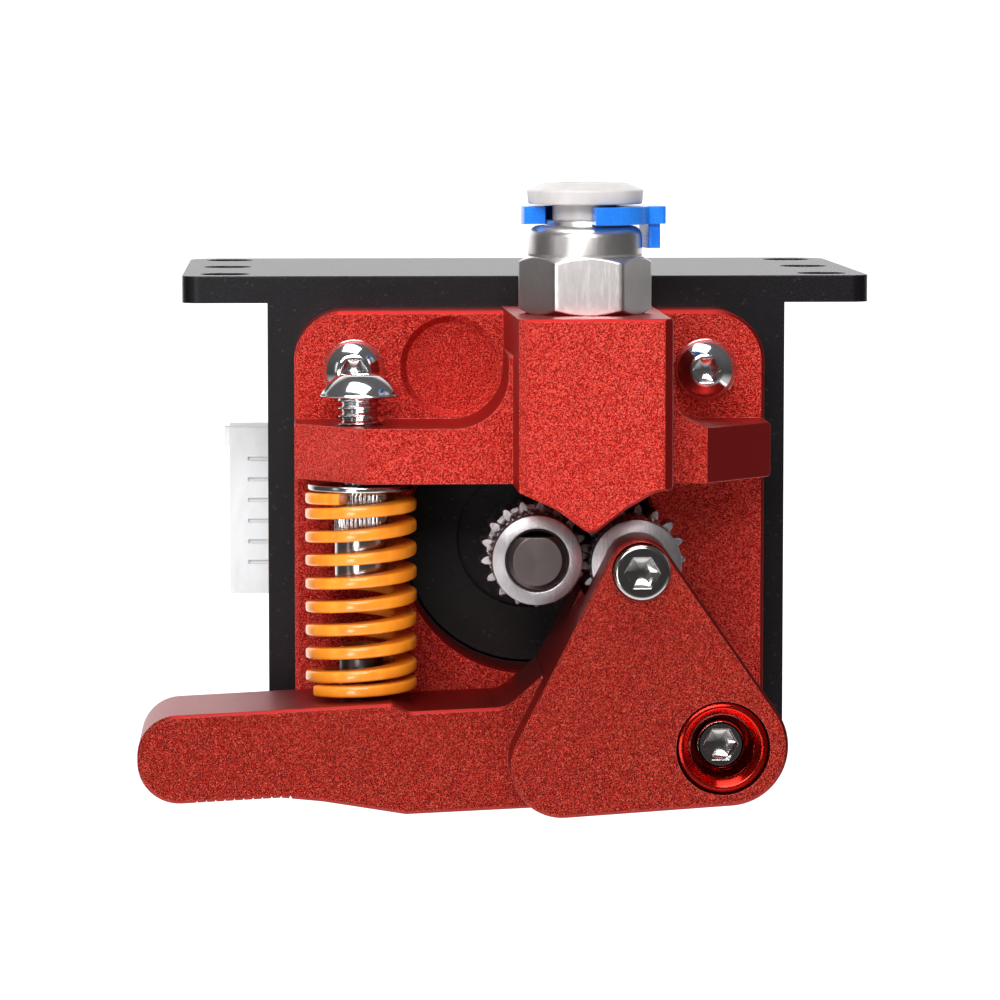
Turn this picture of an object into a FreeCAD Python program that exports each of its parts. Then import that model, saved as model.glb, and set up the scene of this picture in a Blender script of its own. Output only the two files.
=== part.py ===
import FreeCAD, Part
import math
import os

# Dual-gear filament extruder on its L bracket, with the stepper motor that drives it.
# Every piece is drawn about the motor shaft: X to the right, Y back towards the motor, Z up,
# and Y = 0 on the front face of the red base. save() then moves each piece so that the
# origin is the centre of the bracket's hole pattern, on top of its flange. Millimetres.

# ---- motor and bracket ----
MOTOR_PITCH = 15.5          # half of the 31 mm between motor screws
MOTOR_HALF = 21.0
MOTOR_CUT = 3.8             # cut across the motor's corners
CAP_LENGTH = 8.0
STACK_LENGTH = 24.0
BOSS_R = 11.0
M3_R = 1.5                  # outside radius of an M3 thread
M3_CLEAR_R = 1.65           # clearance hole for it
FRONT_SCREW_END = 12.4      # how far back the screws through the base reach
CASE_SCREW_START = 13.7     # front end of the motor's own screws
CASE_HEAD_SUNK = 3.2
SHEET = 2.4                 # bracket thickness
BRACKET_HALF = 23.1
BRACKET_BOTTOM = -21.2
FLANGE_HALF = 30.7
FLANGE_DEPTH = 40.0
FLANGE_UNDER = 21.15
FLANGE_HOLE_X = 26.9
FLANGE_HOLE_R = 2.25
FLANGE_ROWS = (-15.5, 0.0, 15.5)     # from the middle row

# ---- red base ----
PLATE = 6.0
PLATE_HALF = 20.75
PLATE_CORNER = 4.5
FILLET_R = 4.6              # where the left shelf sweeps up into the block
POCKET_R = 4.45
POCKET_DEPTH = 0.5
POCKET_SLOPE = 0.6
BASE_HOLE_R = 11.2
SHELF_FRONT = -12.0
SHELF_END = -5.3            # front of each shelf at the plate's side
SHELF_LOW = 6.5
SHELF_TOP = 11.25
BLOCK_LEFT = -1.9           # the block's left wall at the front, and where it meets the plate
BLOCK_LEFT_BACK = -2.4
BLOCK_RIGHT = 11.15
BLOCK_CHAMFER = 0.8
BLOCK_FRONT = -19.5
BLOCK_TOP = 21.0

# ---- gears and filament ----
MODULE = 0.5
TEETH = 17
TIP_R = 4.7                 # outside radius of the spur teeth
TOOTH_SLACK = 0.14          # thinning of each tooth at the pitch circle
MESH_LEAN = 0.85            # degrees the idler leans into the backlash at rest
HOB_R = 4.0
HOB_TEETH = 40
GROOVE_R = 3.5              # bottom of the filament groove
HUB_R = 3.9
HUB_LENGTH = 1.35
REAR_HUB_R = 3.7            # clears the idler's tooth tips
IDLER = (8.5, -0.4)         # idler axis, X and Z
GEAR_FRONT = -13.0
HOB_Y = -9.6                # middle of the filament groove
SPUR = (-7.4, -4.0)
GEAR_ROOM = 5.1             # radius cut away around each gear
GEAR_ROOM_FRONT = -13.4
SHAFT_R = 2.5
SHAFT_FRONT = -13.5
FLAT_Z = 2.0                # height of the shaft's flat
GRUB_Y = -1.5
BEARING_BORE_R = 2.5        # bore of the idler, round its needle sleeves
FILAMENT_X = 4.25
FILAMENT_R = 1.0            # bore that guides the filament

# ---- lever ----
PIVOT = (15.5, -15.5)
ARM_FRONT = -18.8
HANDLE_FRONT = -13.3
ARM_BACK = -0.3
SLOT = (-13.35, -3.3)       # room for the idler gear, front to back
SLOT_R = 5.2
LEVER_CIRCLES = ((8.45, -0.35, 2.75), (1.85, -17.0, 4.4), (15.95, -15.35, 5.1))
GROOVES = 11
GROOVE_STEP = 0.8
GROOVE_START = -29.2
INLET_R = 1.2
BUSHING_R = 3.0
BUSHING_FLANGE_R = 3.9

# ---- spring and its screw ----
SPRING_X = -15.0
SPRING_Y = -6.5
SPRING_R = 4.85
WIRE = (2.0, 1.05)          # radial width and height
SPRING_Z = (-12.2, 5.62)
SPRING_PITCH = 2.1
SEAT_TOP = 6.15

# ---- push-in fitting ----
HEX_HALF = 5.0
HEX_TOP = 25.9
BARREL_R = 4.9
BARREL_TOP = 28.55
TUBE_R = 2.05
SLEEVE_R = 2.8
DISC_Z = 30.4
CLIP_Z = (28.7, 30.2)

BRACKET_Y = PLATE
MOTOR_Y = PLATE + SHEET
STACK_Y = MOTOR_Y + CAP_LENGTH
REAR_Y = STACK_Y + STACK_LENGTH
MOTOR_END = REAR_Y + CAP_LENGTH
FLANGE_TOP = FLANGE_UNDER + SHEET
ORIGIN = (0.0, BRACKET_Y + FLANGE_DEPTH / 2, FLANGE_TOP)
CORNERS = [(sx * MOTOR_PITCH, sz * MOTOR_PITCH) for sx in (-1, 1) for sz in (-1, 1)]
SHORT = 0.001               # an edge shorter than this is left out


def vec(x, y, z):
    return FreeCAD.Vector(x, y, z)


def save(name, shape):
    """Move the piece to the part's origin and write it."""
    moved = shape.copy()
    moved.translate(vec(-ORIGIN[0], -ORIGIN[1], -ORIGIN[2]))
    os.makedirs("parts", exist_ok=True)
    moved.exportStep(f"parts/{name}.step")


# ---- plain shapes ----
def slab(x, y, z):
    """A box from its low and high value on each axis."""
    return Part.makeBox(x[1] - x[0], y[1] - y[0], z[1] - z[0], vec(x[0], y[0], z[0]))


def rod(at, radius, y):
    """A cylinder along Y; at is (x, z)."""
    return Part.makeCylinder(radius, y[1] - y[0], vec(at[0], y[0], at[1]), vec(0, 1, 0))


def post(at, radius, z):
    """A cylinder along Z; at is (x, y)."""
    return Part.makeCylinder(radius, z[1] - z[0], vec(at[0], at[1], z[0]), vec(0, 0, 1))


def cone(at, radii, y):
    """A cone along Y; at is (x, z)."""
    return Part.makeCone(radii[0], radii[1], y[1] - y[0], vec(at[0], y[0], at[1]), vec(0, 1, 0))


def rounded_wire(corners, place):
    """A closed wire through corners (u, v, radius), each rounded by its tangent arc."""
    arcs = []
    for i, (u, v, radius) in enumerate(corners):
        here = vec(u, v, 0)
        back = vec(*corners[i - 1][:2], 0).sub(here).normalize()
        ahead = vec(*corners[(i + 1) % len(corners)][:2], 0).sub(here).normalize()
        half = back.getAngle(ahead) / 2
        if radius == 0 or half > 1.57:
            arcs.append((here, None, here))
            continue
        reach = radius / math.tan(half)
        inward = (back + ahead).normalize()
        middle = here + inward * (radius / math.sin(half) - radius)
        arcs.append((here + back * reach, middle, here + ahead * reach))
    edges = []
    for i, (start, middle, end) in enumerate(arcs):
        last = arcs[i - 1][2]
        if last.distanceToPoint(start) > SHORT:
            edges.append(Part.LineSegment(place(last.x, last.y), place(start.x, start.y)).toShape())
        if middle is not None:
            ends = [place(p.x, p.y) for p in (start, middle, end)]
            edges.append(Part.Arc(*ends).toShape())
    return Part.Wire(edges)


def prism_y(corners, y):
    """A front view outline (x, z, radius) extruded along Y."""
    wire = rounded_wire(corners, lambda u, v: vec(u, y[0], v))
    return Part.Face(wire).extrude(vec(0, y[1] - y[0], 0))


def prism_z(corners, z):
    """A plan outline (x, y, radius) extruded along Z."""
    wire = rounded_wire(corners, lambda u, v: vec(u, v, z[0]))
    return Part.Face(wire).extrude(vec(0, 0, z[1] - z[0]))


def turned_y(at, corners):
    """A profile (radius, y, corner radius) turned about a Y axis at (x, z)."""
    wire = rounded_wire(corners, lambda u, v: vec(at[0] + u, v, at[1]))
    return Part.Face(wire).revolve(vec(at[0], 0, at[1]), vec(0, 1, 0), 360)


def turned_z(at, corners):
    """A profile (radius, z, corner radius) turned about a Z axis at (x, y)."""
    wire = rounded_wire(corners, lambda u, v: vec(at[0] + u, at[1], v))
    return Part.Face(wire).revolve(vec(at[0], at[1], 0), vec(0, 0, 1), 360)


def rectangle(half_x, half_z, radius):
    """Rounded rectangle corners about the shaft."""
    signs = ((-1, -1), (1, -1), (1, 1), (-1, 1))
    return [(sx * half_x, sz * half_z, radius) for sx, sz in signs]


def belt(circles, y):
    """The outline of a belt round circles (x, z, radius), taken anticlockwise, along Y."""
    leave = []
    for i, (x, z, radius) in enumerate(circles):
        nx, nz, other = circles[(i + 1) % len(circles)]
        away = math.hypot(nx - x, nz - z)
        leave.append(math.atan2(nz - z, nx - x) - math.acos((radius - other) / away))
    edges = []
    for i, (x, z, radius) in enumerate(circles):
        arrive = leave[i - 1]
        turn = (leave[i] - arrive) % (2 * math.pi)
        angles = (arrive, arrive + turn / 2, arrive + turn)
        arc = [vec(x + radius * math.cos(a), y[0], z + radius * math.sin(a)) for a in angles]
        edges.append(Part.Arc(*arc).toShape())
        nx, nz, other = circles[(i + 1) % len(circles)]
        ahead = vec(nx + other * math.cos(leave[i]), y[0], nz + other * math.sin(leave[i]))
        edges.append(Part.LineSegment(arc[2], ahead).toShape())
    return Part.Face(Part.Wire(edges)).extrude(vec(0, y[1] - y[0], 0))


def hexagon(across, first_angle):
    """Corners of a hexagon of the given width across flats, about zero."""
    radius = across / math.sqrt(3)
    angles = [math.radians(first_angle + 60 * i) for i in range(6)]
    return [(radius * math.cos(a), radius * math.sin(a)) for a in angles]


def chamfer_front(shape, y, size):
    """Chamfer the edges that lie in the plane of constant Y."""
    edges = []
    for edge in shape.Edges:
        box = edge.BoundBox
        if abs(box.YMin - y) < 0.001 and abs(box.YMax - y) < 0.001:
            edges.append(edge)
    return shape.makeChamfer(size, edges)


def ring_of(shape, count, at):
    """Copies of a shape turned evenly about a Y axis at (x, z)."""
    copies = []
    for i in range(count):
        copy = shape.copy()
        copy.rotate(vec(at[0], 0, at[1]), vec(0, 1, 0), 360 * i / count)
        copies.append(copy)
    return copies


# ---- screws ----
def dome_head(radius, height):
    """A button head: a spherical cap standing on z = 0."""
    ball = (radius ** 2 + height ** 2) / (2 * height)
    half = math.asin(radius / ball) / 2
    middle = vec(ball * math.sin(half), 0, height - ball * (1 - math.cos(half)))
    rim = vec(radius, 0, 0)
    top = vec(0, 0, height)
    wire = Part.Wire([
        Part.LineSegment(vec(0, 0, 0), rim).toShape(),
        Part.Arc(rim, middle, top).toShape(),
        Part.LineSegment(top, vec(0, 0, 0)).toShape(),
    ])
    return Part.Face(wire).revolve(vec(0, 0, 0), vec(0, 0, 1), 360)


def hex_z(across, z):
    return prism_z([(u, v, 0) for u, v in hexagon(across, 30)], z)


def button_screw(radius, length, head_r, head_h, socket):
    """A button head screw, head up, its bearing face on z = 0."""
    shape = dome_head(head_r, head_h).fuse(post((0, 0), radius, (-length, 0)))
    top = head_h * 0.9
    shape = shape.common(slab((-head_r, head_r), (-head_r, head_r), (-length, top)))
    return shape.cut(hex_z(socket, (head_h * 0.35, head_h + 1)))


def cap_screw(radius, length, head_r, head_h, socket):
    """A cylinder head screw, head up, its bearing face on z = 0."""
    profile = [(0, -length, 0), (radius, -length, 0), (radius, 0, 0), (head_r, 0, 0),
               (head_r, head_h, 0.25), (0, head_h, 0)]
    shape = turned_z((0, 0), profile)
    return shape.cut(hex_z(socket, (head_h * 0.35, head_h + 1)))


def facing_front(shape, at, y):
    """Lay a screw along Y with its head to the front, bearing face at y, axis at (x, z)."""
    laid = shape.copy()
    laid.rotate(vec(0, 0, 0), vec(1, 0, 0), 90)
    laid.translate(vec(at[0], y, at[1]))
    return laid


def facing_back(shape, at, y):
    """Lay a screw along Y with its head to the back."""
    laid = shape.copy()
    laid.rotate(vec(0, 0, 0), vec(1, 0, 0), -90)
    laid.translate(vec(at[0], y, at[1]))
    return laid


# ---- bracket ----
def bracket():
    plate_z = (BRACKET_BOTTOM, FLANGE_TOP)
    upright = [(-BRACKET_HALF, plate_z[0], 2.0), (BRACKET_HALF, plate_z[0], 2.0),
               (BRACKET_HALF, plate_z[1], 0), (-BRACKET_HALF, plate_z[1], 0)]
    shape = prism_y(upright, (BRACKET_Y, MOTOR_Y))
    back = BRACKET_Y + FLANGE_DEPTH
    plan = [(-FLANGE_HALF, BRACKET_Y, 1.5), (FLANGE_HALF, BRACKET_Y, 1.5),
            (FLANGE_HALF, back, 3.0), (-FLANGE_HALF, back, 3.0)]
    shape = shape.fuse(prism_z(plan, (FLANGE_UNDER, FLANGE_TOP))).removeSplitter()
    shape = shape.cut(rod((0, 0), BOSS_R + 0.15, (0, MOTOR_Y + 1)))
    for at in CORNERS:
        shape = shape.cut(rod(at, M3_CLEAR_R, (0, MOTOR_Y + 1)))
    for row in FLANGE_ROWS:
        for side in (-1, 1):
            at = (side * FLANGE_HOLE_X, ORIGIN[1] + row)
            shape = shape.cut(post(at, FLANGE_HOLE_R, (FLANGE_UNDER - 1, FLANGE_TOP + 1)))
    return shape


# ---- red base ----
def base_plate():
    shape = prism_y(rectangle(PLATE_HALF, PLATE_HALF, PLATE_CORNER), (0, PLATE))
    shape = shape.cut(rod((0, 0), BASE_HOLE_R, (-1, PLATE + 1)))
    return chamfer_front(shape, 0, 0.3)


def shelf_plan(side):
    """Plan of one shelf: square in the middle, its front swept back towards the side."""
    knee = side * 14.65
    end = side * PLATE_HALF
    return [(0, SHELF_FRONT, 0), (knee, SHELF_FRONT, 0), (end, SHELF_END, 0), (end, PLATE / 2, 0),
            (0, PLATE / 2, 0)]


def shelves():
    """Both shelves; each top sweeps up into the block in a large fillet."""
    left = [(-PLATE_HALF, SHELF_LOW, 0.3), (-PLATE_HALF, SHELF_TOP, 0.3),
            (BLOCK_LEFT_BACK, SHELF_TOP, FILLET_R), (BLOCK_LEFT_BACK, 17.5, 0), (FILAMENT_X, 17.5, 0),
            (FILAMENT_X, SHELF_LOW, 0)]
    right = [(FILAMENT_X, SHELF_LOW, 0), (FILAMENT_X, 17.5, 0), (BLOCK_RIGHT, 17.5, 0),
             (BLOCK_RIGHT, SHELF_TOP, 4.3), (PLATE_HALF, SHELF_TOP, 0.3), (PLATE_HALF, SHELF_LOW, 0.3)]
    depth = (SHELF_FRONT, PLATE / 2)
    height = (SHELF_LOW - 1, BLOCK_TOP)
    pieces = [prism_y(left, depth).common(prism_z(shelf_plan(-1), height)),
              prism_y(right, depth).common(prism_z(shelf_plan(1), height))]
    return pieces[0].fuse(pieces[1])


def guide_block():
    """The block that carries the fitting; it narrows to a nose between the gears."""
    left, right = BLOCK_LEFT, BLOCK_RIGHT
    front = [(BLOCK_LEFT_BACK, BLOCK_TOP, 0), (BLOCK_LEFT_BACK, 6.6, 0.3),
             (FILAMENT_X - 2.95, 4.95, 6.0), (FILAMENT_X, 2.7, 1.2), (FILAMENT_X + 2.95, 4.95, 6.0),
             (FILAMENT_X + 5.3, 6.35, 3.0), (right, 6.6, 0.3), (right, BLOCK_TOP, 0.3)]
    cut = BLOCK_CHAMFER
    plan = [(BLOCK_LEFT_BACK, PLATE / 2, 0), (left, BLOCK_FRONT + cut, 0.4), (left + cut, BLOCK_FRONT, 0.4),
            (right - cut, BLOCK_FRONT, 0.4), (right, BLOCK_FRONT + cut, 0.4), (right, PLATE / 2, 0)]
    outline = chamfer_front(prism_y(front, (BLOCK_FRONT, PLATE / 2)), BLOCK_FRONT, 0.25)
    return outline.common(prism_z(plan, (0, BLOCK_TOP + 1)))


def pocket():
    """Shallow round recess with a sloping wall, set just clear of the shelf and the block."""
    at = (BLOCK_LEFT_BACK - FILLET_R, SHELF_TOP + FILLET_R)
    return cone(at, (POCKET_R, POCKET_R - POCKET_SLOPE), (-SHORT, POCKET_DEPTH))


def extruder_base():
    shape = base_plate().fuse(shelves()).fuse(guide_block())
    shape = shape.cut(rod((0, 0), GEAR_ROOM, (GEAR_ROOM_FRONT, 0.5)))
    # the idler swings away to the right, so its room is a slot
    opened = (IDLER[0] + 1.8, IDLER[1] + 0.7, GEAR_ROOM)
    shape = shape.cut(belt([(*IDLER, GEAR_ROOM), opened], (GEAR_ROOM_FRONT, 0)))
    # the countersunk corner is the bottom left one, behind the handle
    for at in CORNERS:
        shape = shape.cut(rod(at, M3_CLEAR_R, (-1, PLATE + 1)))
    sunk = (-MOTOR_PITCH, -MOTOR_PITCH)
    shape = shape.cut(cone(sunk, (3.2, M3_CLEAR_R), (-0.01, 1.6)))
    # shallow round pocket on the plate, between the left screw and the block
    shape = shape.cut(pocket())
    # filament bore, and the fitting's thread above it
    shape = shape.cut(post((FILAMENT_X, HOB_Y), FILAMENT_R, (0, BLOCK_TOP + 1)))
    shape = shape.cut(post((FILAMENT_X, HOB_Y), 3.0, (13.5, BLOCK_TOP + 1)))
    shape = shape.cut(post((SPRING_X, SPRING_Y), 2.05, (SHELF_LOW - 1, SHELF_TOP + 1)))
    return shape.removeSplitter()


def base_button_screws():
    screw = button_screw(M3_R, FRONT_SCREW_END, 2.75, 1.65, 2.0)
    upper = [at for at in CORNERS if at[1] > 0]
    return Part.makeCompound([facing_front(screw, at, 0) for at in upper])


def base_flat_screw():
    tip = -FRONT_SCREW_END
    profile = [(0, tip, 0), (M3_R, tip, 0), (M3_R, -1.6, 0), (3.0, -0.1, 0), (3.0, 0, 0), (0, 0, 0)]
    screw = turned_z((0, 0), profile).cut(hex_z(2.0, (-1.1, 1)))
    return facing_front(screw, (-MOTOR_PITCH, -MOTOR_PITCH), 0)


# ---- lever ----
def handle():
    outline = [(-34.3, -13.36, 3.5), (-12.5, -12.26, 0.6), (-10.9, -12.95, 1.2), (-2.6, -12.6, 2.5),
               (0.4, -9.9, 0), (3.0, -16.0, 0), (0.0, -21.35, 0), (-11.3, -21.85, 1.5),
               (-18.4, -20.7, 2.5), (-22.0, -20.35, 2.5), (-34.3, -21.0, 3.6)]
    return chamfer_front(prism_y(outline, (HANDLE_FRONT, ARM_BACK)), HANDLE_FRONT, 0.25)


def thumb_grooves():
    """V grooves across the underside of the handle, for grip."""
    grooves = []
    for i in range(GROOVES):
        x = GROOVE_START + GROOVE_STEP * i
        z = -21.1 + 0.055 * (x + 34.3)
        teeth = [(x - 0.25, z - 0.3, 0), (x + 0.25, z - 0.3, 0), (x, z + 0.25, 0)]
        grooves.append(prism_y(teeth, (HANDLE_FRONT - 1, ARM_BACK + 1)))
    return Part.makeCompound(grooves)


def triangle():
    return chamfer_front(belt(LEVER_CIRCLES, (ARM_FRONT, ARM_BACK)), ARM_FRONT, 0.25)


def lever_arm():
    shape = handle().cut(thumb_grooves()).fuse(triangle())
    shape = shape.cut(rod(IDLER, SLOT_R, SLOT))
    shape = shape.cut(rod(IDLER, M3_R + 0.05, (ARM_FRONT - 1, ARM_BACK + 1)))
    shape = shape.cut(rod(IDLER, 2.5, (ARM_FRONT - 1, ARM_FRONT + 0.7)))
    shape = shape.cut(rod(PIVOT, BUSHING_R + 0.05, (ARM_FRONT - 1, ARM_BACK + 1)))
    shape = shape.cut(rod(PIVOT, BUSHING_FLANGE_R + 0.12, (ARM_FRONT - 1, ARM_FRONT + 2.4)))
    shape = shape.cut(post((FILAMENT_X, HOB_Y), INLET_R, (-30, IDLER[1] - 1)))
    shape = shape.cut(post((SPRING_X, SPRING_Y), 1.9, (-16.4, -10)))
    return shape.removeSplitter()


def spring_post():
    profile = [(0, -16.3, 0), (1.9, -16.3, 0), (1.9, -7.8, 0.4), (0, -7.8, 0)]
    return turned_z((SPRING_X, SPRING_Y), profile)


def pivot_bushing():
    """Flanged bushing with a dished front and a recess for the screw's head."""
    flange = BUSHING_FLANGE_R
    profile = [(1.6, 0, 0), (BUSHING_R, 0, 0), (BUSHING_R, -16.45, 0), (flange, -16.45, 0),
               (flange, -18.2, 0.2), (flange - 0.25, -18.35, 0.2), (2.8, -17.75, 0.2), (2.7, -17.5, 0),
               (2.7, -13.0, 0), (1.6, -13.0, 0)]
    return turned_y(PIVOT, profile)


def pivot_screw():
    bearing = -13.0
    screw = cap_screw(M3_R, FRONT_SCREW_END - bearing, 2.15, 3.4, 2.5)
    return facing_front(screw, PIVOT, bearing)


def idler_screw():
    return facing_front(cap_screw(M3_R, 17.3, 2.4, 1.6, 2.5), IDLER, ARM_FRONT + 0.7)


# ---- gears ----
def star_y(at, points, y):
    return prism_y([(at[0] + r * math.cos(a), at[1] + r * math.sin(a), 0) for r, a in points], y)


def involute_half_angle(radius):
    """Half the angle of a tooth at a radius."""
    pitch_r = MODULE * TEETH / 2
    base_r = pitch_r * math.cos(math.radians(20))

    def involute(r):
        pressure = math.acos(min(1.0, base_r / r))
        return math.tan(pressure) - pressure

    whole = math.pi / (2 * TEETH) - TOOTH_SLACK / (2 * pitch_r)
    return whole + involute(pitch_r) - involute(radius)


def spur_teeth(at, phase):
    """Involute teeth; phase turns a tooth to the angle given, in degrees."""
    pitch_r = MODULE * TEETH / 2
    flank = (3.62, 4.0, 4.2, 4.45, TIP_R)
    points = []
    for i in range(TEETH):
        middle = math.radians(phase) + 2 * math.pi * i / TEETH
        for r in flank:
            points.append((r, middle - involute_half_angle(max(r, pitch_r * 0.94))))
        for r in reversed(flank):
            points.append((r, middle + involute_half_angle(max(r, pitch_r * 0.94))))
    return star_y(at, points, SPUR)


def filament_teeth(at):
    """A ring of fine teeth with a round groove for the filament."""
    half = math.pi / HOB_TEETH
    points = []
    for i in range(HOB_TEETH):
        middle = 2 * half * i
        points += [(HOB_R, middle), (HOB_R - 0.26, middle + half)]
    y = (GEAR_FRONT + HUB_LENGTH - 0.05, SPUR[0] - 0.3)
    over = HOB_R + 0.2
    groove = [(0, y[0], 0), (over, y[0], 0), (over, HOB_Y - 1.1, 0), (GROOVE_R, HOB_Y, 0.9),
              (over, HOB_Y + 1.1, 0), (over, y[1], 0), (0, y[1], 0)]
    return star_y(at, points, y).common(turned_y(at, groove))


def gear_body(at, phase):
    hub = [(0, GEAR_FRONT, 0), (HUB_R, GEAR_FRONT, 0.2), (HUB_R, GEAR_FRONT + HUB_LENGTH, 0),
           (0, GEAR_FRONT + HUB_LENGTH, 0)]
    shape = turned_y(at, hub).fuse(filament_teeth(at)).fuse(spur_teeth(at, phase))
    return shape.fuse(rod(at, GROOVE_R, (SPUR[0] - 0.4, SPUR[0] + 0.2)))


def mouth(at, radius):
    """The chamfer that opens a bore at the gear's front."""
    return cone(at, (radius + 0.25, radius), (GEAR_FRONT - SHORT, GEAR_FRONT + 0.3))


def drive_gear():
    line = math.degrees(math.atan2(IDLER[1], IDLER[0]))
    shape = gear_body((0, 0), line)
    shape = shape.fuse(rod((0, 0), REAR_HUB_R, (SPUR[1] - 0.2, 1.0)))
    shape = shape.cut(rod((0, 0), SHAFT_R, (-20, 5))).cut(mouth((0, 0), SHAFT_R))
    return shape.cut(post((0, GRUB_Y), M3_R, (0, 6)))


def idler_gear():
    line = math.degrees(math.atan2(IDLER[1], IDLER[0]))
    gap_phase = line + 180 + 180 / TEETH + MESH_LEAN
    shape = gear_body(IDLER, gap_phase)
    return shape.cut(rod(IDLER, BEARING_BORE_R, (-20, 5)))


def idler_bearings():
    """Two thin sleeves that run on the screw's shank."""
    length = 4.3
    starts = (GEAR_FRONT, SPUR[1] - length)
    bore = M3_R + 0.05
    sleeves = [rod(IDLER, BEARING_BORE_R, (y, y + length)).cut(rod(IDLER, bore, (y - 1, y + length + 1)))
               for y in starts]
    return Part.makeCompound(sleeves)


def drive_gear_grub_screw():
    socket = prism_z([(u, v + GRUB_Y, 0) for u, v in hexagon(1.5, 30)], (2.8, 5))
    return post((0, GRUB_Y), M3_R, (FLAT_Z, REAR_HUB_R)).cut(socket)


# ---- spring and its screw ----
def spring():
    """A square wire helix, its ends ground flat."""
    middle_r = SPRING_R - WIRE[0] / 2
    low = SPRING_Z[0] - 1.5
    height = SPRING_Z[1] - SPRING_Z[0] + 3.0
    helix = Part.makeHelix(SPRING_PITCH, height, middle_r)
    half_w, half_h = WIRE[0] / 2, WIRE[1] / 2
    section = [vec(middle_r + sx * half_w, 0, sz * half_h)
               for sx, sz in ((-1, -1), (1, -1), (1, 1), (-1, 1), (-1, -1))]
    coil = Part.Wire(helix.Edges).makePipeShell([Part.makePolygon(section)], True, True)
    coil.translate(vec(SPRING_X, SPRING_Y, low))
    reach = SPRING_R + 1
    keep = slab((SPRING_X - reach, SPRING_X + reach), (SPRING_Y - reach, SPRING_Y + reach), SPRING_Z)
    return coil.common(keep)


def adjust_screw():
    screw = button_screw(2.0, 13.7 - SEAT_TOP - 0.05, 3.6, 2.3, 2.5)
    screw.translate(vec(SPRING_X, SPRING_Y, 13.7))
    return screw.fuse(post((SPRING_X, SPRING_Y), 1.4, (SEAT_TOP - 1.3, SEAT_TOP + 0.2)))


def spring_seat():
    profile = [(0, -2.2, 0), (2.3, -2.2, 0.3), (2.3, 5.65, 0), (4.6, 5.65, 0), (4.6, SEAT_TOP, 0.15),
               (1.5, SEAT_TOP, 0), (1.5, SEAT_TOP - 1.5, 0), (0, SEAT_TOP - 1.5, 0)]
    return turned_z((SPRING_X, SPRING_Y), profile)


# ---- push-in fitting ----
FITTING = (FILAMENT_X, HOB_Y)


def fitting_body():
    nut = [(FITTING[0] + u, FITTING[1] + v, 0) for u, v in hexagon(2 * HEX_HALF, 0)]
    envelope = [(0, BLOCK_TOP, 0), (5.0, BLOCK_TOP, 0), (5.85, BLOCK_TOP + 0.45, 0),
                (5.85, HEX_TOP - 0.45, 0), (5.0, HEX_TOP, 0), (0, HEX_TOP, 0)]
    shape = prism_z(nut, (BLOCK_TOP, HEX_TOP)).common(turned_z(FITTING, envelope))
    barrel = [(0, HEX_TOP - 0.5, 0), (BARREL_R, HEX_TOP - 0.5, 0), (BARREL_R, BARREL_TOP, 0.95),
              (0, BARREL_TOP, 0)]
    shape = shape.fuse(turned_z(FITTING, barrel))
    shape = shape.fuse(post(FITTING, 2.95, (13.6, BLOCK_TOP + 0.5)))
    shape = shape.cut(post(FITTING, FILAMENT_R, (13, 30)))
    shape = shape.cut(post(FITTING, TUBE_R, (14.6, 30)))
    return shape.cut(post(FITTING, 3.5, (22.6, 30))).removeSplitter()


def fitting_collar():
    """Ring pressed in the barrel's mouth; its lip is the bright line under the clip."""
    profile = [(2.9, 27.0, 0), (3.5, 27.0, 0), (3.5, BARREL_TOP + 0.5, 0.15), (2.9, BARREL_TOP + 0.5, 0)]
    return turned_z(FITTING, profile)


def fitting_grip_ring():
    """Thin steel ring whose slotted inner edge bites the tube."""
    profile = [(TUBE_R, 25.3, 0), (3.45, 24.9, 0), (3.45, 25.1, 0), (TUBE_R, 25.5, 0)]
    shape = turned_z(FITTING, profile)
    slot = slab((FITTING[0] + 1.9, FITTING[0] + 3.0), (FITTING[1] - 0.15, FITTING[1] + 0.15), (24, 26))
    for i in range(8):
        tooth = slot.copy()
        tooth.rotate(vec(*FITTING, 0), vec(0, 0, 1), 45 * i)
        shape = shape.cut(tooth)
    return shape


def fitting_oring():
    return Part.makeTorus(2.78, 0.68, vec(*FITTING, 23.4), vec(0, 0, 1))


def fitting_collet():
    profile = [(TUBE_R, 25.9, 0), (SLEEVE_R, 25.9, 0.2), (SLEEVE_R, DISC_Z, 0), (5.0, DISC_Z, 0.25),
               (5.0, DISC_Z + 1.25, 0.2), (3.4, DISC_Z + 1.85, 0.2), (TUBE_R, DISC_Z + 1.85, 0.3)]
    return turned_z(FITTING, profile)


def fitting_clip():
    """C-shaped clip, open to the front left, with a tail and a turned-down tab."""
    inner, outer = 3.6, 5.5
    shape = post(FITTING, outer, CLIP_Z).cut(post(FITTING, inner, (CLIP_Z[0] - 1, CLIP_Z[1] + 1)))
    wedge = [(0, 0, 0)]
    for angle in (196, 235, 276):
        a = math.radians(angle)
        wedge.append((9 * math.cos(a), 9 * math.sin(a), 0))
    wedge = [(FITTING[0] + u, FITTING[1] + v, r) for u, v, r in wedge]
    shape = shape.cut(prism_z(wedge, (CLIP_Z[0] - 1, CLIP_Z[1] + 1)))
    tail = [(4.2, -2.2, 0), (6.7, -2.2, 0.5), (6.7, 2.2, 0.5), (4.2, 2.2, 0)]
    tab = [(5.25, -1.6, 0.2), (6.3, -1.6, 0.2), (6.3, 1.6, 0.2), (5.25, 1.6, 0.2)]
    pieces = []
    for corners, z in ((tail, CLIP_Z), (tab, (CLIP_Z[0] - 2.1, CLIP_Z[0] + 0.2))):
        pieces.append(prism_z([(FITTING[0] + u, FITTING[1] + v, r) for u, v, r in corners], z))
    for piece in pieces:
        piece.rotate(vec(*FITTING, 0), vec(0, 0, 1), 12)
        shape = shape.fuse(piece)
    return shape.removeSplitter()


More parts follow.
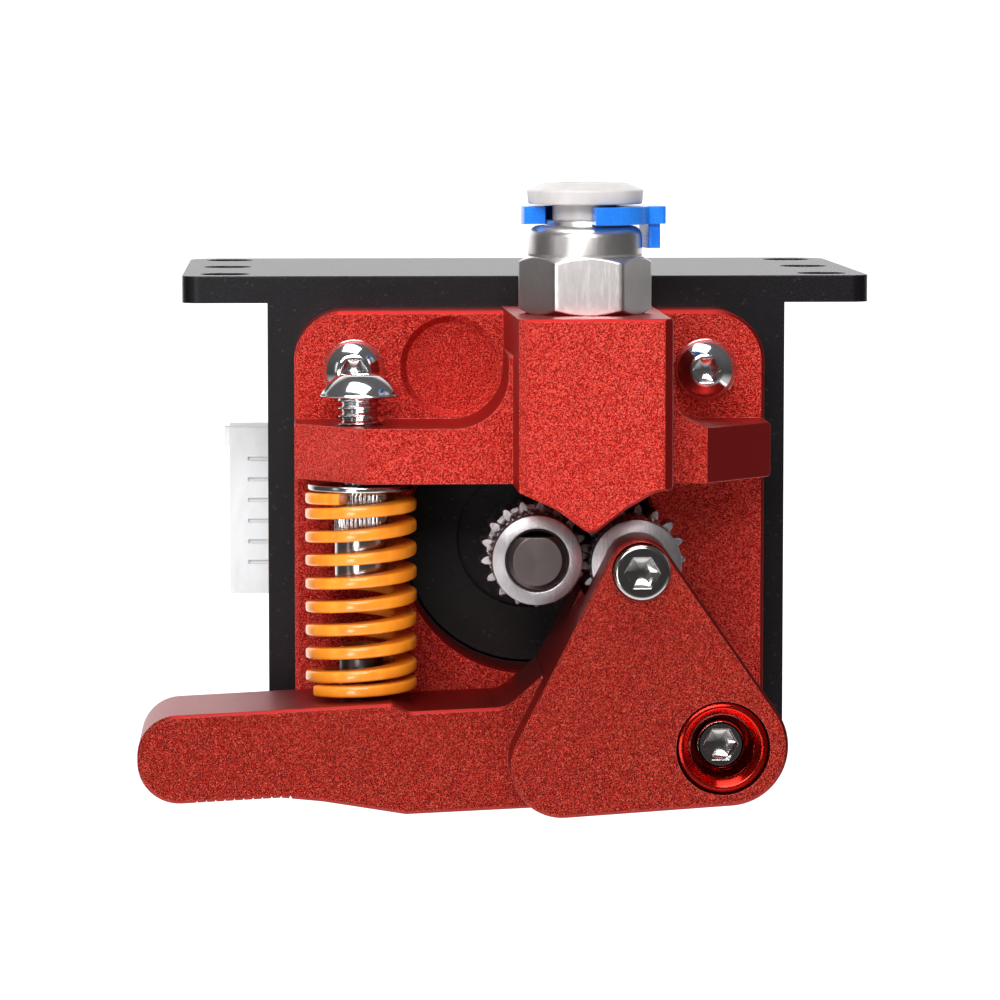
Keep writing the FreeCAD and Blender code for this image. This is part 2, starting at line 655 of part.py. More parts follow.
# ---- motor ----
def motor_outline():
    """Square with its corners cut, as (x, z, radius)."""
    near = MOTOR_HALF - MOTOR_CUT
    side = [(-near, -MOTOR_HALF), (near, -MOTOR_HALF)]
    points = []
    for _ in range(4):
        points += [(x, z, 0.6) for x, z in side]
        side = [(-z, x) for x, z in side]
    return points


def motor_front_cap():
    shape = chamfer_front(prism_y(motor_outline(), (MOTOR_Y, STACK_Y)), MOTOR_Y, 0.3)
    shape = shape.fuse(rod((0, 0), BOSS_R, (MOTOR_Y - 2, MOTOR_Y + 1)))
    shape = shape.cut(rod((0, 0), 17.5, (MOTOR_Y + 3.1, STACK_Y + 1)))
    shape = shape.fuse(rod((0, 0), 10.0, (MOTOR_Y + 2.6, MOTOR_Y + 6.6)))
    shape = shape.cut(rod((0, 0), 6.2, (MOTOR_Y - 3, MOTOR_Y - 1.2)))
    shape = shape.cut(rod((0, 0), 3.2, (MOTOR_Y - 3, MOTOR_Y + 3)))
    shape = shape.cut(rod((0, 0), 8.0, (MOTOR_Y + 1.2, STACK_Y)))
    for at in CORNERS:
        shape = shape.cut(rod(at, M3_R + 0.02, (MOTOR_Y - 1, FRONT_SCREW_END + 0.4)))
        shape = shape.cut(rod(at, M3_R + 0.02, (CASE_SCREW_START - 0.4, STACK_Y + 1)))
    return shape.removeSplitter()


def motor_stator():
    shape = prism_y(motor_outline(), (STACK_Y, REAR_Y)).cut(rod((0, 0), 17.0, (STACK_Y - 1, REAR_Y + 1)))
    stack = (STACK_Y, REAR_Y)
    shoes = rod((0, 0), 12.9, stack).cut(rod((0, 0), 11.3, (STACK_Y - 1, REAR_Y + 1)))
    opening = slab((10, 14), (STACK_Y - 1, REAR_Y + 1), (-1.1, 1.1))
    opening.rotate(vec(0, 0, 0), vec(0, 1, 0), 22.5)
    for gap in ring_of(opening, 8, (0, 0)):
        shoes = shoes.cut(gap)
    shape = shape.fuse(shoes)
    for pole in ring_of(slab((12.5, 17.3), stack, (-2.0, 2.0)), 8, (0, 0)):
        shape = shape.fuse(pole)
    for at in CORNERS:
        shape = shape.cut(rod(at, M3_CLEAR_R, (STACK_Y - 1, REAR_Y + 1)))
    return shape


def coil():
    """One winding, a frame round a pole."""
    outside = slab((13.3, 16.2), (STACK_Y - 2.2, REAR_Y + 2.2), (-4.5, 4.5))
    return outside.cut(slab((13, 17), (STACK_Y - 0.8, REAR_Y + 0.8), (-2.6, 2.6)))


def motor_windings():
    return Part.makeCompound(ring_of(coil(), 8, (0, 0)))


def motor_bobbins():
    """Insulating plates at both ends of the stack, with windows for the windings."""
    plates = []
    for y in ((STACK_Y - 0.8, STACK_Y), (REAR_Y, REAR_Y + 0.8)):
        plate = rod((0, 0), 16.95, y).cut(rod((0, 0), 12.9, (y[0] - 1, y[1] + 1)))
        for winding in ring_of(coil(), 8, (0, 0)):
            plate = plate.cut(winding)
        plates.append(plate)
    return Part.makeCompound(plates)


def motor_rear_cap():
    shape = prism_y(motor_outline(), (REAR_Y, MOTOR_END))
    shape = chamfer_front(shape, MOTOR_END, 0.5)
    shape = shape.cut(rod((0, 0), 17.5, (REAR_Y - 1, REAR_Y + 5)))
    shape = shape.fuse(rod((0, 0), 10.0, (REAR_Y + 1.5, REAR_Y + 5.5)))
    shape = shape.cut(rod((0, 0), 8.0, (REAR_Y, REAR_Y + 6.6)))
    shape = shape.cut(rod((0, 0), 3.2, (REAR_Y, MOTOR_END + 1)))
    for at in CORNERS:
        shape = shape.cut(rod(at, M3_CLEAR_R, (REAR_Y - 1, MOTOR_END + 1)))
        shape = shape.cut(rod(at, 3.0, (MOTOR_END - CASE_HEAD_SUNK, MOTOR_END + 1)))
    notch = slab((-MOTOR_HALF - 1, -16.5), (REAR_Y - 1, REAR_Y + 4.6), (-7.6, 6.7))
    return shape.cut(notch)


def motor_case_screws():
    bearing = MOTOR_END - CASE_HEAD_SUNK
    screw = cap_screw(M3_R, bearing - CASE_SCREW_START, 2.75, 2.8, 2.5)
    return Part.makeCompound([facing_back(screw, at, bearing) for at in CORNERS])


def motor_shaft():
    end = MOTOR_END - 0.6
    profile = [(0, SHAFT_FRONT, 0), (2.1, SHAFT_FRONT, 0), (SHAFT_R, SHAFT_FRONT + 0.4, 0),
               (SHAFT_R, end, 0.3), (0, end, 0)]
    flat = slab((-3, 3), (SHAFT_FRONT - 1, 1.5), (FLAT_Z, 4))
    return turned_y((0, 0), profile).cut(flat)


def rotor_cup(y):
    """A toothed rotor half."""
    count = 50
    quarter = math.pi / count / 2
    points = []
    for i in range(count):
        middle = 2 * math.pi * i / count
        points += [(10.45, middle - quarter), (11.0, middle - quarter), (11.0, middle + quarter),
                   (10.45, middle + quarter)]
    return star_y((0, 0), points, y).cut(rod((0, 0), SHAFT_R, (y[0] - 1, y[1] + 1)))


def rotor_cups():
    middle = (STACK_Y + REAR_Y) / 2
    return Part.makeCompound([rotor_cup((middle - 10, middle - 1)), rotor_cup((middle + 1, middle + 10))])


def rotor_magnet():
    middle = (STACK_Y + REAR_Y) / 2
    y = (middle - 1, middle + 1)
    return rod((0, 0), 9.5, y).cut(rod((0, 0), SHAFT_R, (y[0] - 1, y[1] + 1)))


BEARING_STARTS = (MOTOR_Y + 1.2, REAR_Y + 1.0)
BEARING_W = 5.0
BALL_PATH = 5.25


def bearing_ring(inner, outer, y):
    ring = rod((0, 0), outer, (y, y + BEARING_W)).cut(rod((0, 0), inner, (y - 1, y + BEARING_W + 1)))
    return ring.cut(Part.makeTorus(BALL_PATH, 1.2, vec(0, y + BEARING_W / 2, 0), vec(0, 1, 0)))


def bearing_outer_rings():
    return Part.makeCompound([bearing_ring(6.3, 8.0, y) for y in BEARING_STARTS])


def bearing_inner_rings():
    return Part.makeCompound([bearing_ring(SHAFT_R, 4.2, y) for y in BEARING_STARTS])


def bearing_balls():
    balls = []
    for y in BEARING_STARTS:
        ball = Part.makeSphere(1.15, vec(BALL_PATH, y + BEARING_W / 2, 0))
        balls += ring_of(ball, 8, (0, 0))
    return Part.makeCompound(balls)


def wave_washer():
    y = (REAR_Y + 6.05, REAR_Y + 6.5)
    return rod((0, 0), 7.8, y).cut(rod((0, 0), 5.6, (y[0] - 1, y[1] + 1)))


# ---- motor socket ----
SOCKET_X = (-27.0, -21.1)
SOCKET_Y = (38.9, 44.9)
SOCKET_Z = (-8.5, 7.6)
PIN_PITCH = 2.0
PIN_MIDDLE_Z = -0.45


def connector_housing():
    shape = slab(SOCKET_X, SOCKET_Y, SOCKET_Z)
    shape = shape.fuse(slab((SOCKET_X[1] - 1, -17.05), (REAR_Y + 0.1, SOCKET_Y[1]), (-7.5, 6.6)))
    shape = shape.fuse(slab((SOCKET_X[0] - 0.45, -24), (39.6, 40.6), (5.8, SOCKET_Z[1])))
    shape = shape.cut(slab((SOCKET_X[0] - 1, -22.4), (39.7, 44.1), (SOCKET_Z[0] + 0.9, SOCKET_Z[1] - 0.9)))
    for i in range(6):
        z = PIN_MIDDLE_Z + PIN_PITCH * (i - 2.5)
        shape = shape.cut(slab((-23.6, -15), (41.6, 42.2), (z - 0.3, z + 0.3)))
        shape = shape.cut(slab((-25.2, -22.0), (38.0, 39.25), (z - 0.18, z + 0.18)))
    return shape


def connector_pins():
    pins = []
    for i in range(6):
        z = PIN_MIDDLE_Z + PIN_PITCH * (i - 2.5)
        pins.append(slab((-26.2, -17.2), (41.65, 42.15), (z - 0.25, z + 0.25)))
    return Part.makeCompound(pins)


PIECES = (
    bracket, extruder_base, base_button_screws, base_flat_screw, lever_arm, spring_post,
    pivot_bushing, pivot_screw, idler_screw, idler_gear, idler_bearings, drive_gear,
    drive_gear_grub_screw, spring, adjust_screw, spring_seat, fitting_body, fitting_collar,
    fitting_grip_ring, fitting_oring, fitting_collet, fitting_clip, motor_front_cap,
    motor_stator, motor_windings, motor_bobbins, motor_rear_cap, motor_case_screws,
    motor_shaft, rotor_cups, rotor_magnet, bearing_outer_rings, bearing_inner_rings,
    bearing_balls, wave_washer, connector_housing, connector_pins,
)

for make in PIECES:
    save(make.__name__, make())
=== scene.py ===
"""The looks of a dual-gear filament extruder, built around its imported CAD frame."""

import math

import bpy
import numpy as np
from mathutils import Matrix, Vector


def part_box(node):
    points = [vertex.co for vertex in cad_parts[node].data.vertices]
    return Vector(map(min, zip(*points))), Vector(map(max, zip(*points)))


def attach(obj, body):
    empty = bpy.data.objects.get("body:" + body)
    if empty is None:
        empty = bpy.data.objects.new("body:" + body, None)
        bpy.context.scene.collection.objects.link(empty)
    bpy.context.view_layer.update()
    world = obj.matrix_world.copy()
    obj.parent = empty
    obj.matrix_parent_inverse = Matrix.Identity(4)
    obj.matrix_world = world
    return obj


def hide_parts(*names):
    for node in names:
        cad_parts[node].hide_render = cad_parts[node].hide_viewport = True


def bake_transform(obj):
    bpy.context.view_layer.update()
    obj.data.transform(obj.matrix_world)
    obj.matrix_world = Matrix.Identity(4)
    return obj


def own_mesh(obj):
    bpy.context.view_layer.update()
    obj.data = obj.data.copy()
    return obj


MM = 0.001
TURN = 2 * math.pi

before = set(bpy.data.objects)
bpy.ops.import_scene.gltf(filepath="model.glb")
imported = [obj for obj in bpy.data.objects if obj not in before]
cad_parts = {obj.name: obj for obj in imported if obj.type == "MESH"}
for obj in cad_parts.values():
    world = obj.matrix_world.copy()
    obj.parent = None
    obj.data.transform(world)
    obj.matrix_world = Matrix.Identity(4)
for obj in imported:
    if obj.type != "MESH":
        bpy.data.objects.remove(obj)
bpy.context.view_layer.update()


# ---- places, read from the frame ----
def span(node):
    """The low and high corner of a node, in millimetres."""
    low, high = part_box(node)
    return np.array(low) / MM, np.array(high) / MM


def middle(node):
    """The middle of a node's box, in millimetres."""
    low, high = span(node)
    return (low + high) / 2


PLATE = 6.0                    # thickness of the red plate
plate_back = span("extruder_base")[1][1]
SHAFT = np.array([middle("motor_stator")[0], plate_back - PLATE, middle("motor_stator")[2]])
IDLER = middle("idler_bearings")
PIVOT = middle("pivot_bushing")
FITTING = middle("fitting_collar")
SPRING = middle("spring")
SCREW_PITCH = 31.0             # between the motor's screws
corners = [SHAFT + (sx * SCREW_PITCH / 2, 0, sz * SCREW_PITCH / 2) for sx in (-1, 1) for sz in (-1, 1)]


# ---- surfaces ----
def rounded(points, steps=5):
    """A profile (a, b, radius) with each inner corner replaced by its tangent arc.

    The arc's centre is on the corner's bisector at radius / sin(half angle); its points are the
    centre plus radius times the unit vector that turns evenly from one tangent point to the other.
    """
    places = np.array([p[:2] for p in points], float)
    out = [places[:1]]
    for i in range(1, len(points) - 1):
        here, radius = places[i], points[i][2]
        if radius == 0:
            out.append(here[None])
            continue
        back = (places[i - 1] - here) / np.linalg.norm(places[i - 1] - here)
        ahead = (places[i + 1] - here) / np.linalg.norm(places[i + 1] - here)
        half = math.acos(float(np.clip(back @ ahead, -1, 1))) / 2
        centre = here + (back + ahead) / np.linalg.norm(back + ahead) * radius / math.sin(half)
        start = here + back * radius / math.tan(half) - centre
        end = here + ahead * radius / math.tan(half) - centre
        t = np.linspace(0, 1, steps)[:, None]
        sweep = math.pi - 2 * half
        arc = (np.sin((1 - t) * sweep) * start + np.sin(t * sweep) * end) / math.sin(sweep)
        out.append(centre + arc)
    out.append(places[-1:])
    return np.concatenate(out)


def column(values):
    """The same values as a column, so that they spread along a row of angles."""
    return np.asarray(values, float)[:, None]


def rings(radii, heights, angle):
    """Rows of points: row i has radius radii[i] (or radii[i, j]) and height heights[i], about Z."""
    radii = np.broadcast_to(radii if np.ndim(radii) == 2 else column(radii), (len(heights), len(angle)))
    z = np.broadcast_to(column(heights) if np.ndim(heights) == 1 else heights, radii.shape)
    return np.stack([radii * np.cos(angle), radii * np.sin(angle), z], -1)


def around(columns):
    """Even angles round one turn."""
    return np.arange(columns) * TURN / columns


def along_front(points, at):
    """Turns Z to the front (-Y) and moves the origin to the place given."""
    return np.stack([points[..., 0], -points[..., 2], points[..., 1]], -1) + at


def along_back(points, at):
    """Turns Z to the back (+Y) and moves the origin to the place given."""
    return np.stack([points[..., 0], points[..., 2], -points[..., 1]], -1) + at


def upright(points, at):
    """Keeps Z up and moves the origin to the place given."""
    return points + at


def skins(name, body, shells, material, replaced=(), crease_angle=35.0):
    """Makes one object from shells, each (points, rows close on themselves).

    points is rows x columns x 3 in millimetres, closed across its columns. An open shell's first
    and last rows are shut by a fan to their mean point. Each shell is turned to face outwards by
    the sign of its volume, the sum of a . (b x c) / 6 over its triangles.
    """
    verts, faces, count = [], [], 0
    for points, closed in shells:
        rows, columns = points.shape[:2]
        index = np.arange(rows * columns).reshape(rows, columns)
        nxt = np.roll(index, -1, 1)
        low, low_next = (index, nxt) if closed else (index[:-1], nxt[:-1])
        high, high_next = (np.roll(index, -1, 0), np.roll(nxt, -1, 0)) if closed else (index[1:], nxt[1:])
        quads = np.stack([low, low_next, high_next, high], -1).reshape(-1, 4)
        flat = points.reshape(-1, 3)
        fans = np.zeros((0, 3), int)
        if not closed:
            flat = np.concatenate([flat, points[:1].mean(1), points[-1:].mean(1)])
            start = np.stack([np.full(columns, rows * columns), nxt[0], index[0]], -1)
            end = np.stack([np.full(columns, rows * columns + 1), index[-1], nxt[-1]], -1)
            fans = np.concatenate([start, end])
        triangles = np.concatenate([quads[:, :3], quads[:, [0, 2, 3]], fans])
        a, b, c = (flat[triangles[:, i]] for i in range(3))
        if np.einsum("ij,ij->i", a, np.cross(b, c)).sum() < 0:
            quads, fans = quads[:, ::-1], fans[:, ::-1]
        faces += (quads + count).tolist() + (fans + count).tolist()
        verts.append(flat)
        count += len(flat)
    mesh = bpy.data.meshes.new(name)
    mesh.from_pydata(np.concatenate(verts) * MM, [], faces)
    mesh.shade_smooth()
    mesh.set_sharp_from_angle(angle=math.radians(crease_angle))
    mesh.materials.append(material)
    piece = bpy.data.objects.new(name, mesh)
    bpy.context.scene.collection.objects.link(piece)
    if body:
        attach(piece, body)
    if replaced:
        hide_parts(*replaced)
    return piece


def hexagon_radius(across, angle):
    """Radius of a hexagon with a corner at angle 0: half the width over cos(angle within a side)."""
    return across / 2 / np.cos(np.mod(angle, TURN / 6) - TURN / 12)


def thread(z, angle, major, pitch):
    """A screw thread: the radius falls in a rounded V, 0.61 pitch deep, once per turn of the helix."""
    phase = np.mod(column(z) / pitch - angle / TURN, 1)
    valley = np.clip(np.abs(phase - 0.5) * 2.6 - 0.15, 0, 1)
    return major - 0.61 * pitch * (1 - valley) * 0.9


SCREW_TIP = 0.4                # height of the cone at a screw's end


def screw_shell(length, shank, head, socket, pitch, depth=0.6, plain=0.0):
    """A screw standing on its tip: threaded shank, turned head, hexagonal socket, down to its floor.

    head is the profile (radius, z, corner radius) from under the head to the socket's mouth.
    """
    angle = around(96)
    turns = max(2, int((length - plain - SCREW_TIP) / pitch * 9))
    z = np.linspace(-length + SCREW_TIP, -plain, turns)
    shank_r = thread(z, angle, shank, pitch)
    fade = np.clip((z + plain) / -0.5, 0, 1)[:, None]
    shank_r = shank_r * fade + shank * (1 - fade)
    outer = rounded([(shank, -plain, 0), (shank, 0, 0)] + head, 7)
    top = outer[-1, 1]
    floor = top - depth
    cut = np.stack([hexagon_radius(socket, angle)] * 3)
    bevel = cut[:1] + 0.06
    return np.concatenate([
        rings([shank * 0.62], [-length], angle),
        rings(shank_r, z, angle),
        rings(outer[1:, 0], outer[1:, 1], angle),
        rings(bevel, [top], angle),
        rings(cut, [top - 0.06, floor + 0.02, floor], angle),
        rings([socket * 0.28], [floor - socket * 0.1], angle),
    ])


def button_head(radius, height, socket):
    """A spherical cap above a short straight rim, cut flat where the socket opens."""
    ball = (radius ** 2 + height ** 2) / (2 * height)
    half = math.asin(radius / ball)
    t = np.linspace(half, math.asin((socket * 0.72) / ball), 14)
    rim = [(radius - 0.12, 0, 0), (radius, 0.1, 0)]
    return rim + [(ball * math.sin(a), height - ball * (1 - math.cos(a)), 0) for a in t[1:]]


def cap_head(radius, height, socket):
    """A cylinder head with a rounded top edge."""
    return [(radius, 0, 0.1), (radius, height, 0.35), (socket * 0.78, height, 0)]


TURNED_COLUMNS = 128


def turned(profile, steps=5):
    """A closed profile (radius, height, corner radius) turned about Z, as a ring shell."""
    loop = rounded([profile[-1]] + list(profile) + [profile[0]], steps)[1:-1]
    return rings(loop[:, 0], loop[:, 1], around(TURNED_COLUMNS)), True


def turned_solid(profile):
    """An open profile turned about Z; both ends are shut on the axis."""
    line = rounded(profile)
    return rings(line[:, 0], line[:, 1], around(TURNED_COLUMNS)), False


# ---- finishes ----
class Finish:
    """A material put together from named steps. Every pattern reads Object coordinates."""

    def __init__(self, name, **sockets):
        self.material = bpy.data.materials.new(name)
        self.material.use_nodes = True
        self.tree = self.material.node_tree
        self.shader = self.tree.nodes["Principled BSDF"]
        self.place = self.add("ShaderNodeTexCoord").outputs["Object"]
        self.normal = None
        for key, value in sockets.items():
            self.shader.inputs[key.replace("_", " ")].default_value = value

    def add(self, kind, settings=None, **inputs):
        """Adds a shader node; _0, _1 name its sockets by number."""
        node = self.tree.nodes.new(kind)
        for key, value in (settings or {}).items():
            setattr(node, key, value)
        for key, value in inputs.items():
            socket = node.inputs[int(key[1:])] if key[1:].isdigit() else node.inputs[key.replace("_", " ")]
            if isinstance(value, bpy.types.NodeSocket):
                self.tree.links.new(value, socket)
            else:
                socket.default_value = value
        return node

    def spot(self, centre=(0, 0, 0), stretch=(1, 1, 1)):
        """Object coordinates about a centre in millimetres, then stretched."""
        moved = self.add("ShaderNodeVectorMath", {"operation": "SUBTRACT"},
                         _0=self.place, _1=[c * MM for c in centre]).outputs[0]
        return self.add("ShaderNodeMapping", {"vector_type": "POINT"},
                        Vector=moved, Scale=stretch).outputs[0]

    def noise(self, size, detail=2.0, rough=0.5, place=None, warp=0.0):
        """Cloudy pattern whose blotches are about the size given, in millimetres."""
        return self.add("ShaderNodeTexNoise", None, Vector=place or self.place,
                        Scale=1 / (size * MM), Detail=detail, Roughness=rough,
                        Distortion=warp).outputs["Fac"]

    def cells(self, size):
        """A value from 0 to 1 for each grain of the size given."""
        node = self.add("ShaderNodeTexVoronoi", None, Vector=self.place, Scale=1 / (size * MM))
        return self.add("ShaderNodeSeparateColor", None, Color=node.outputs["Color"]).outputs[0]

    def lines(self, spacing, axis, place=None, warp=0.0):
        """Even bands across an axis, or rings about it, a whole band each spacing (mm)."""
        kind = {"bands_direction": axis, "wave_type": "BANDS"}
        if axis.startswith("ring"):
            kind = {"rings_direction": axis[-1], "wave_type": "RINGS"}
        return self.add("ShaderNodeTexWave", kind, Vector=place or self.place,
                        Scale=TURN / 20 / (spacing * MM), Distortion=warp, Detail=1.0).outputs["Fac"]

    def tones(self, value, *stops):
        """Maps a value to colours or greys, each stop a (position, tone)."""
        ramp = self.add("ShaderNodeValToRGB", None, Fac=value)
        band = ramp.color_ramp
        while len(band.elements) < len(stops):
            band.elements.new(0.5)
        for element, (position, colour) in zip(band.elements, stops):
            element.position = position
            shade = colour if isinstance(colour, (tuple, list)) else (colour, colour, colour)
            element.color = (*shade, 1)
        return ramp.outputs["Color"]

    def math(self, operation, a, b=0.0, clamp=False):
        """One step of arithmetic."""
        settings = {"operation": operation, "use_clamp": clamp}
        return self.add("ShaderNodeMath", settings, _0=a, _1=b).outputs[0]

    def between(self, value, low, high):
        """Maps 0..1 to low..high."""
        return self.add("ShaderNodeMapRange", None, Value=value, To_Min=low, To_Max=high).outputs[0]

    def mix(self, factor, a, b):
        """Blends two colours."""
        node = self.add("ShaderNodeMix", {"data_type": "RGBA"}, _0=factor)
        for socket, value in ((node.inputs[6], a), (node.inputs[7], b)):
            if isinstance(value, bpy.types.NodeSocket):
                self.tree.links.new(value, socket)
            else:
                socket.default_value = (*value, 1)
        return node.outputs[2]

    def edges(self, radius, gain=3.0):
        """Softens edges in the shading, and gives 1 on an edge and 0 on a flat face."""
        soft = self.add("ShaderNodeBevel", {"samples": 6}, Radius=radius * MM).outputs[0]
        plain = self.add("ShaderNodeNewGeometry").outputs["Normal"]
        same = self.add("ShaderNodeVectorMath", {"operation": "DOT_PRODUCT"},
                        _0=soft, _1=plain).outputs["Value"]
        self.normal = soft
        return self.math("MULTIPLY", self.math("SUBTRACT", 1.0, same), gain, clamp=True)

    def raised(self, height, depth, strength=1.0):
        """Bumps the surface by a height pattern; depth is in millimetres."""
        node = self.add("ShaderNodeBump", None, Height=height, Distance=depth * MM, Strength=strength)
        if self.normal is not None:
            self.tree.links.new(self.normal, node.inputs["Normal"])
        self.normal = node.outputs[0]

    def done(self, colour=None, roughness=None):
        """Joins the pattern to the shader and gives the material."""
        if colour is not None:
            self.tree.links.new(colour, self.shader.inputs["Base Color"])
        if roughness is not None:
            self.tree.links.new(roughness, self.shader.inputs["Roughness"])
        if self.normal is not None:
            self.tree.links.new(self.normal, self.shader.inputs["Normal"])
        return self.material


def facing(f, axis):
    """How far a face looks along an axis, from the surface normal: -1 to 1."""
    normal = f.add("ShaderNodeNewGeometry").outputs["Normal"]
    return f.add("ShaderNodeSeparateXYZ", None, Vector=normal).outputs["XYZ".index(axis)]


def blasted_red(name, dark, mid, bright, machined, painted_glint_colour):
    """Blasted and anodised aluminium: fine embossed grain on the faces turned to the front, and a
    smooth cutter finish on the walls and ledges that stand square to them."""
    f = Finish(name, Metallic=0.85, Specular_IOR_Level=0.5)
    edge = f.edges(0.16, 2.6)
    grain = f.noise(0.11, 1.0, 0.5)
    glitter = f.cells(0.11)
    broad = f.noise(6.0, 2.0)
    colour = f.tones(grain, (0.36, dark), (0.5, mid), (0.64, bright))
    # painted highlight: the brightest grains get the pale glint colour, standing in for light glinting off
    # the blast grain
    painted_glint_mask = f.tones(glitter, (0.80, 0.0), (0.97, 1.0))
    colour = f.mix(f.math("MULTIPLY", painted_glint_mask, 0.55), colour, painted_glint_colour)
    colour = f.mix(f.between(broad, 0.0, 0.35), colour, mid)
    # walls and ledges were cut after blasting; faces that look to the right get the same smooth cut finish
    # and its darker colour as painted shade on that side, and the cut colour is darker than the blasted red
    # as painted shade for the dark room that smooth faces reflect
    leftwards = f.math("MULTIPLY", f.math("MAXIMUM", f.math("MULTIPLY", facing(f, "X"), -1.0), 0.0), 0.4)
    across = f.math("ADD", f.math("ABSOLUTE", facing(f, "Y")), leftwards)
    cut_and_right_shade = f.tones(across, (0.74, 1.0), (0.82, 0.0))
    blasted = f.math("SUBTRACT", 1.0, cut_and_right_shade)
    feed = f.lines(0.12, "Y", warp=1.0)
    smooth = f.mix(f.between(feed, 0.0, 0.15), machined, mid)
    colour = f.mix(cut_and_right_shade, colour, smooth)
    # edges are paler: partly worn anodising, partly a painted highlight along the edges
    worn = f.math("MULTIPLY", edge, f.between(f.noise(0.35, 3.0), 0.1, 1.0), clamp=True)
    colour = f.mix(f.math("MULTIPLY", worn, 0.7), colour, (1.0, 0.34, 0.28))
    rough = f.add("ShaderNodeMix", {"data_type": "FLOAT"}, _0=cut_and_right_shade, _2=f.between(grain, 0.42, 0.56),
                  _3=f.between(feed, 0.38, 0.48)).outputs[0]
    f.raised(f.math("MULTIPLY", grain, blasted), 0.26, 1.0)
    f.raised(f.math("MULTIPLY", glitter, blasted), 0.02, 0.6)
    return f.done(colour, rough)


SCUFFS = 0.25                  # share of the scuffs in a metal's roughness


def bright_metal(name, tone, low, high, ring=None, streak=None, edge=0.12, depth=0.004):
    """Plated or machined metal: faint cutter marks in rings or streaks, fine scuffs and paler edges."""
    f = Finish(name, Metallic=1.0)
    worn = f.edges(edge, 2.5)
    fine = f.noise(0.05, 2.0)
    dull = f.noise(1.4, 4.0, 0.65)
    marks = fine
    if ring is not None:
        centre, axis, spacing = ring
        marks = f.lines(spacing, "ring" + axis, f.spot(centre), 1.2)
    if streak is not None:
        marks = f.noise(0.6, 3.0, 0.6, f.spot(stretch=streak))
    shade = f.tones(f.math("ADD", f.math("MULTIPLY", marks, 0.5), f.math("MULTIPLY", dull, 0.5)),
                    (0.3, [c * 0.82 for c in tone]), (0.7, tone))
    shade = f.mix(f.math("MULTIPLY", worn, 0.6), shade, [min(1.0, c * 1.2 + 0.05) for c in tone])
    scratch = f.tones(f.noise(0.25, 5.0, 0.7, f.spot(stretch=(1, 1, 0.12))), (0.52, 0.0), (0.62, 1.0))
    wear = f.math("ADD", f.math("MULTIPLY", marks, 1 - SCUFFS), f.math("MULTIPLY", scratch, SCUFFS))
    rough = f.between(wear, low, high)
    f.raised(marks, depth, 0.8)
    f.raised(dull, depth * 4, 0.25)
    return f.done(shade, rough)


def satin_black(name, tone, low, high):
    """Black powder coat: fine orange peel, dust-pale specks and edges rubbed grey."""
    f = Finish(name, Specular_IOR_Level=0.2)
    edge = f.edges(0.18, 2.2)
    peel = f.noise(0.16, 2.0, 0.55)
    broad = f.noise(9.0, 3.0)
    colour = f.tones(peel, (0.3, [c * 0.65 for c in tone]), (0.75, [c * 1.5 for c in tone]))
    colour = f.mix(f.between(broad, 0.0, 0.35), colour, [c * 1.7 for c in tone])
    speck = f.tones(f.cells(0.22), (0.975, 0.0), (0.99, 1.0))
    colour = f.mix(f.math("MULTIPLY", speck, 0.2), colour, (0.07, 0.065, 0.07))
    colour = f.mix(f.math("MULTIPLY", edge, 0.5), colour, (0.05, 0.045, 0.05))
    f.raised(peel, 0.02, 0.9)
    return f.done(colour, f.between(peel, low, high))


def moulded(name, dark, light, low, high, subsurface=0.0, coat=0.0):
    """Moulded plastic or thick paint: soft flow marks, pores and paler corners."""
    f = Finish(name, Subsurface_Weight=subsurface, Subsurface_Scale=0.8 * MM, Coat_Weight=coat,
               Coat_Roughness=0.06)
    edge = f.edges(0.15, 2.0)
    flow = f.noise(2.6, 3.0, 0.5, f.spot(stretch=(1, 1, 0.4)), 0.6)
    pores = f.noise(0.12, 2.0)
    colour = f.tones(flow, (0.3, dark), (0.7, light))
    colour = f.mix(f.math("MULTIPLY", edge, 0.45), colour, [min(1.0, c * 1.15 + 0.03) for c in light])
    f.raised(pores, 0.006, 0.6)
    f.raised(flow, 0.03, 0.25)
    gloss = f.math("ADD", f.math("MULTIPLY", pores, 0.6), f.math("MULTIPLY", flow, 0.4))
    return f.done(colour, f.between(gloss, low, high))


def laminated(name):
    """A stack of stamped sheets half a millimetre thick, painted over."""
    f = Finish(name, Metallic=0.55)
    edge = f.edges(0.15, 1.8)
    sheets = f.lines(0.5, "Y")
    seam = f.tones(sheets, (0.08, 0.0), (0.3, 1.0))
    stain = f.noise(2.2, 4.0, 0.6)
    sheet = f.tones(stain, (0.3, (0.030, 0.030, 0.032)), (0.75, (0.085, 0.083, 0.082)))
    colour = f.mix(seam, (0.010, 0.010, 0.011), sheet)
    colour = f.mix(f.math("MULTIPLY", edge, 0.5), colour, (0.20, 0.19, 0.19))
    f.raised(seam, 0.05, 0.9)
    return f.done(colour, f.between(stain, 0.32, 0.55))


def wound_copper(name):
    """Enamelled wire laid in layers, each turn a quarter of a millimetre wide."""
    f = Finish(name, Metallic=0.85, Coat_Weight=0.6)
    turns = f.lines(0.26, "Y", warp=0.4)
    tint = f.noise(1.2, 2.0)
    wire = f.tones(tint, (0.3, (0.62, 0.24, 0.10)), (0.7, (0.86, 0.42, 0.20)))
    colour = f.mix(turns, (0.22, 0.07, 0.03), wire)
    f.edges(0.1)
    f.raised(turns, 0.09, 1.0)
    return f.done(colour, f.between(tint, 0.22, 0.38))


def matte_rubber(name):
    """Matte black rubber with a grey bloom."""
    f = Finish(name)
    bloom = f.noise(0.8, 4.0, 0.6)
    f.edges(0.1)
    f.raised(f.noise(0.05, 2.0), 0.008, 0.8)
    colour = f.tones(bloom, (0.3, (0.012, 0.012, 0.012)), (0.75, (0.045, 0.044, 0.043)))
    return f.done(colour, f.between(bloom, 0.55, 0.8))
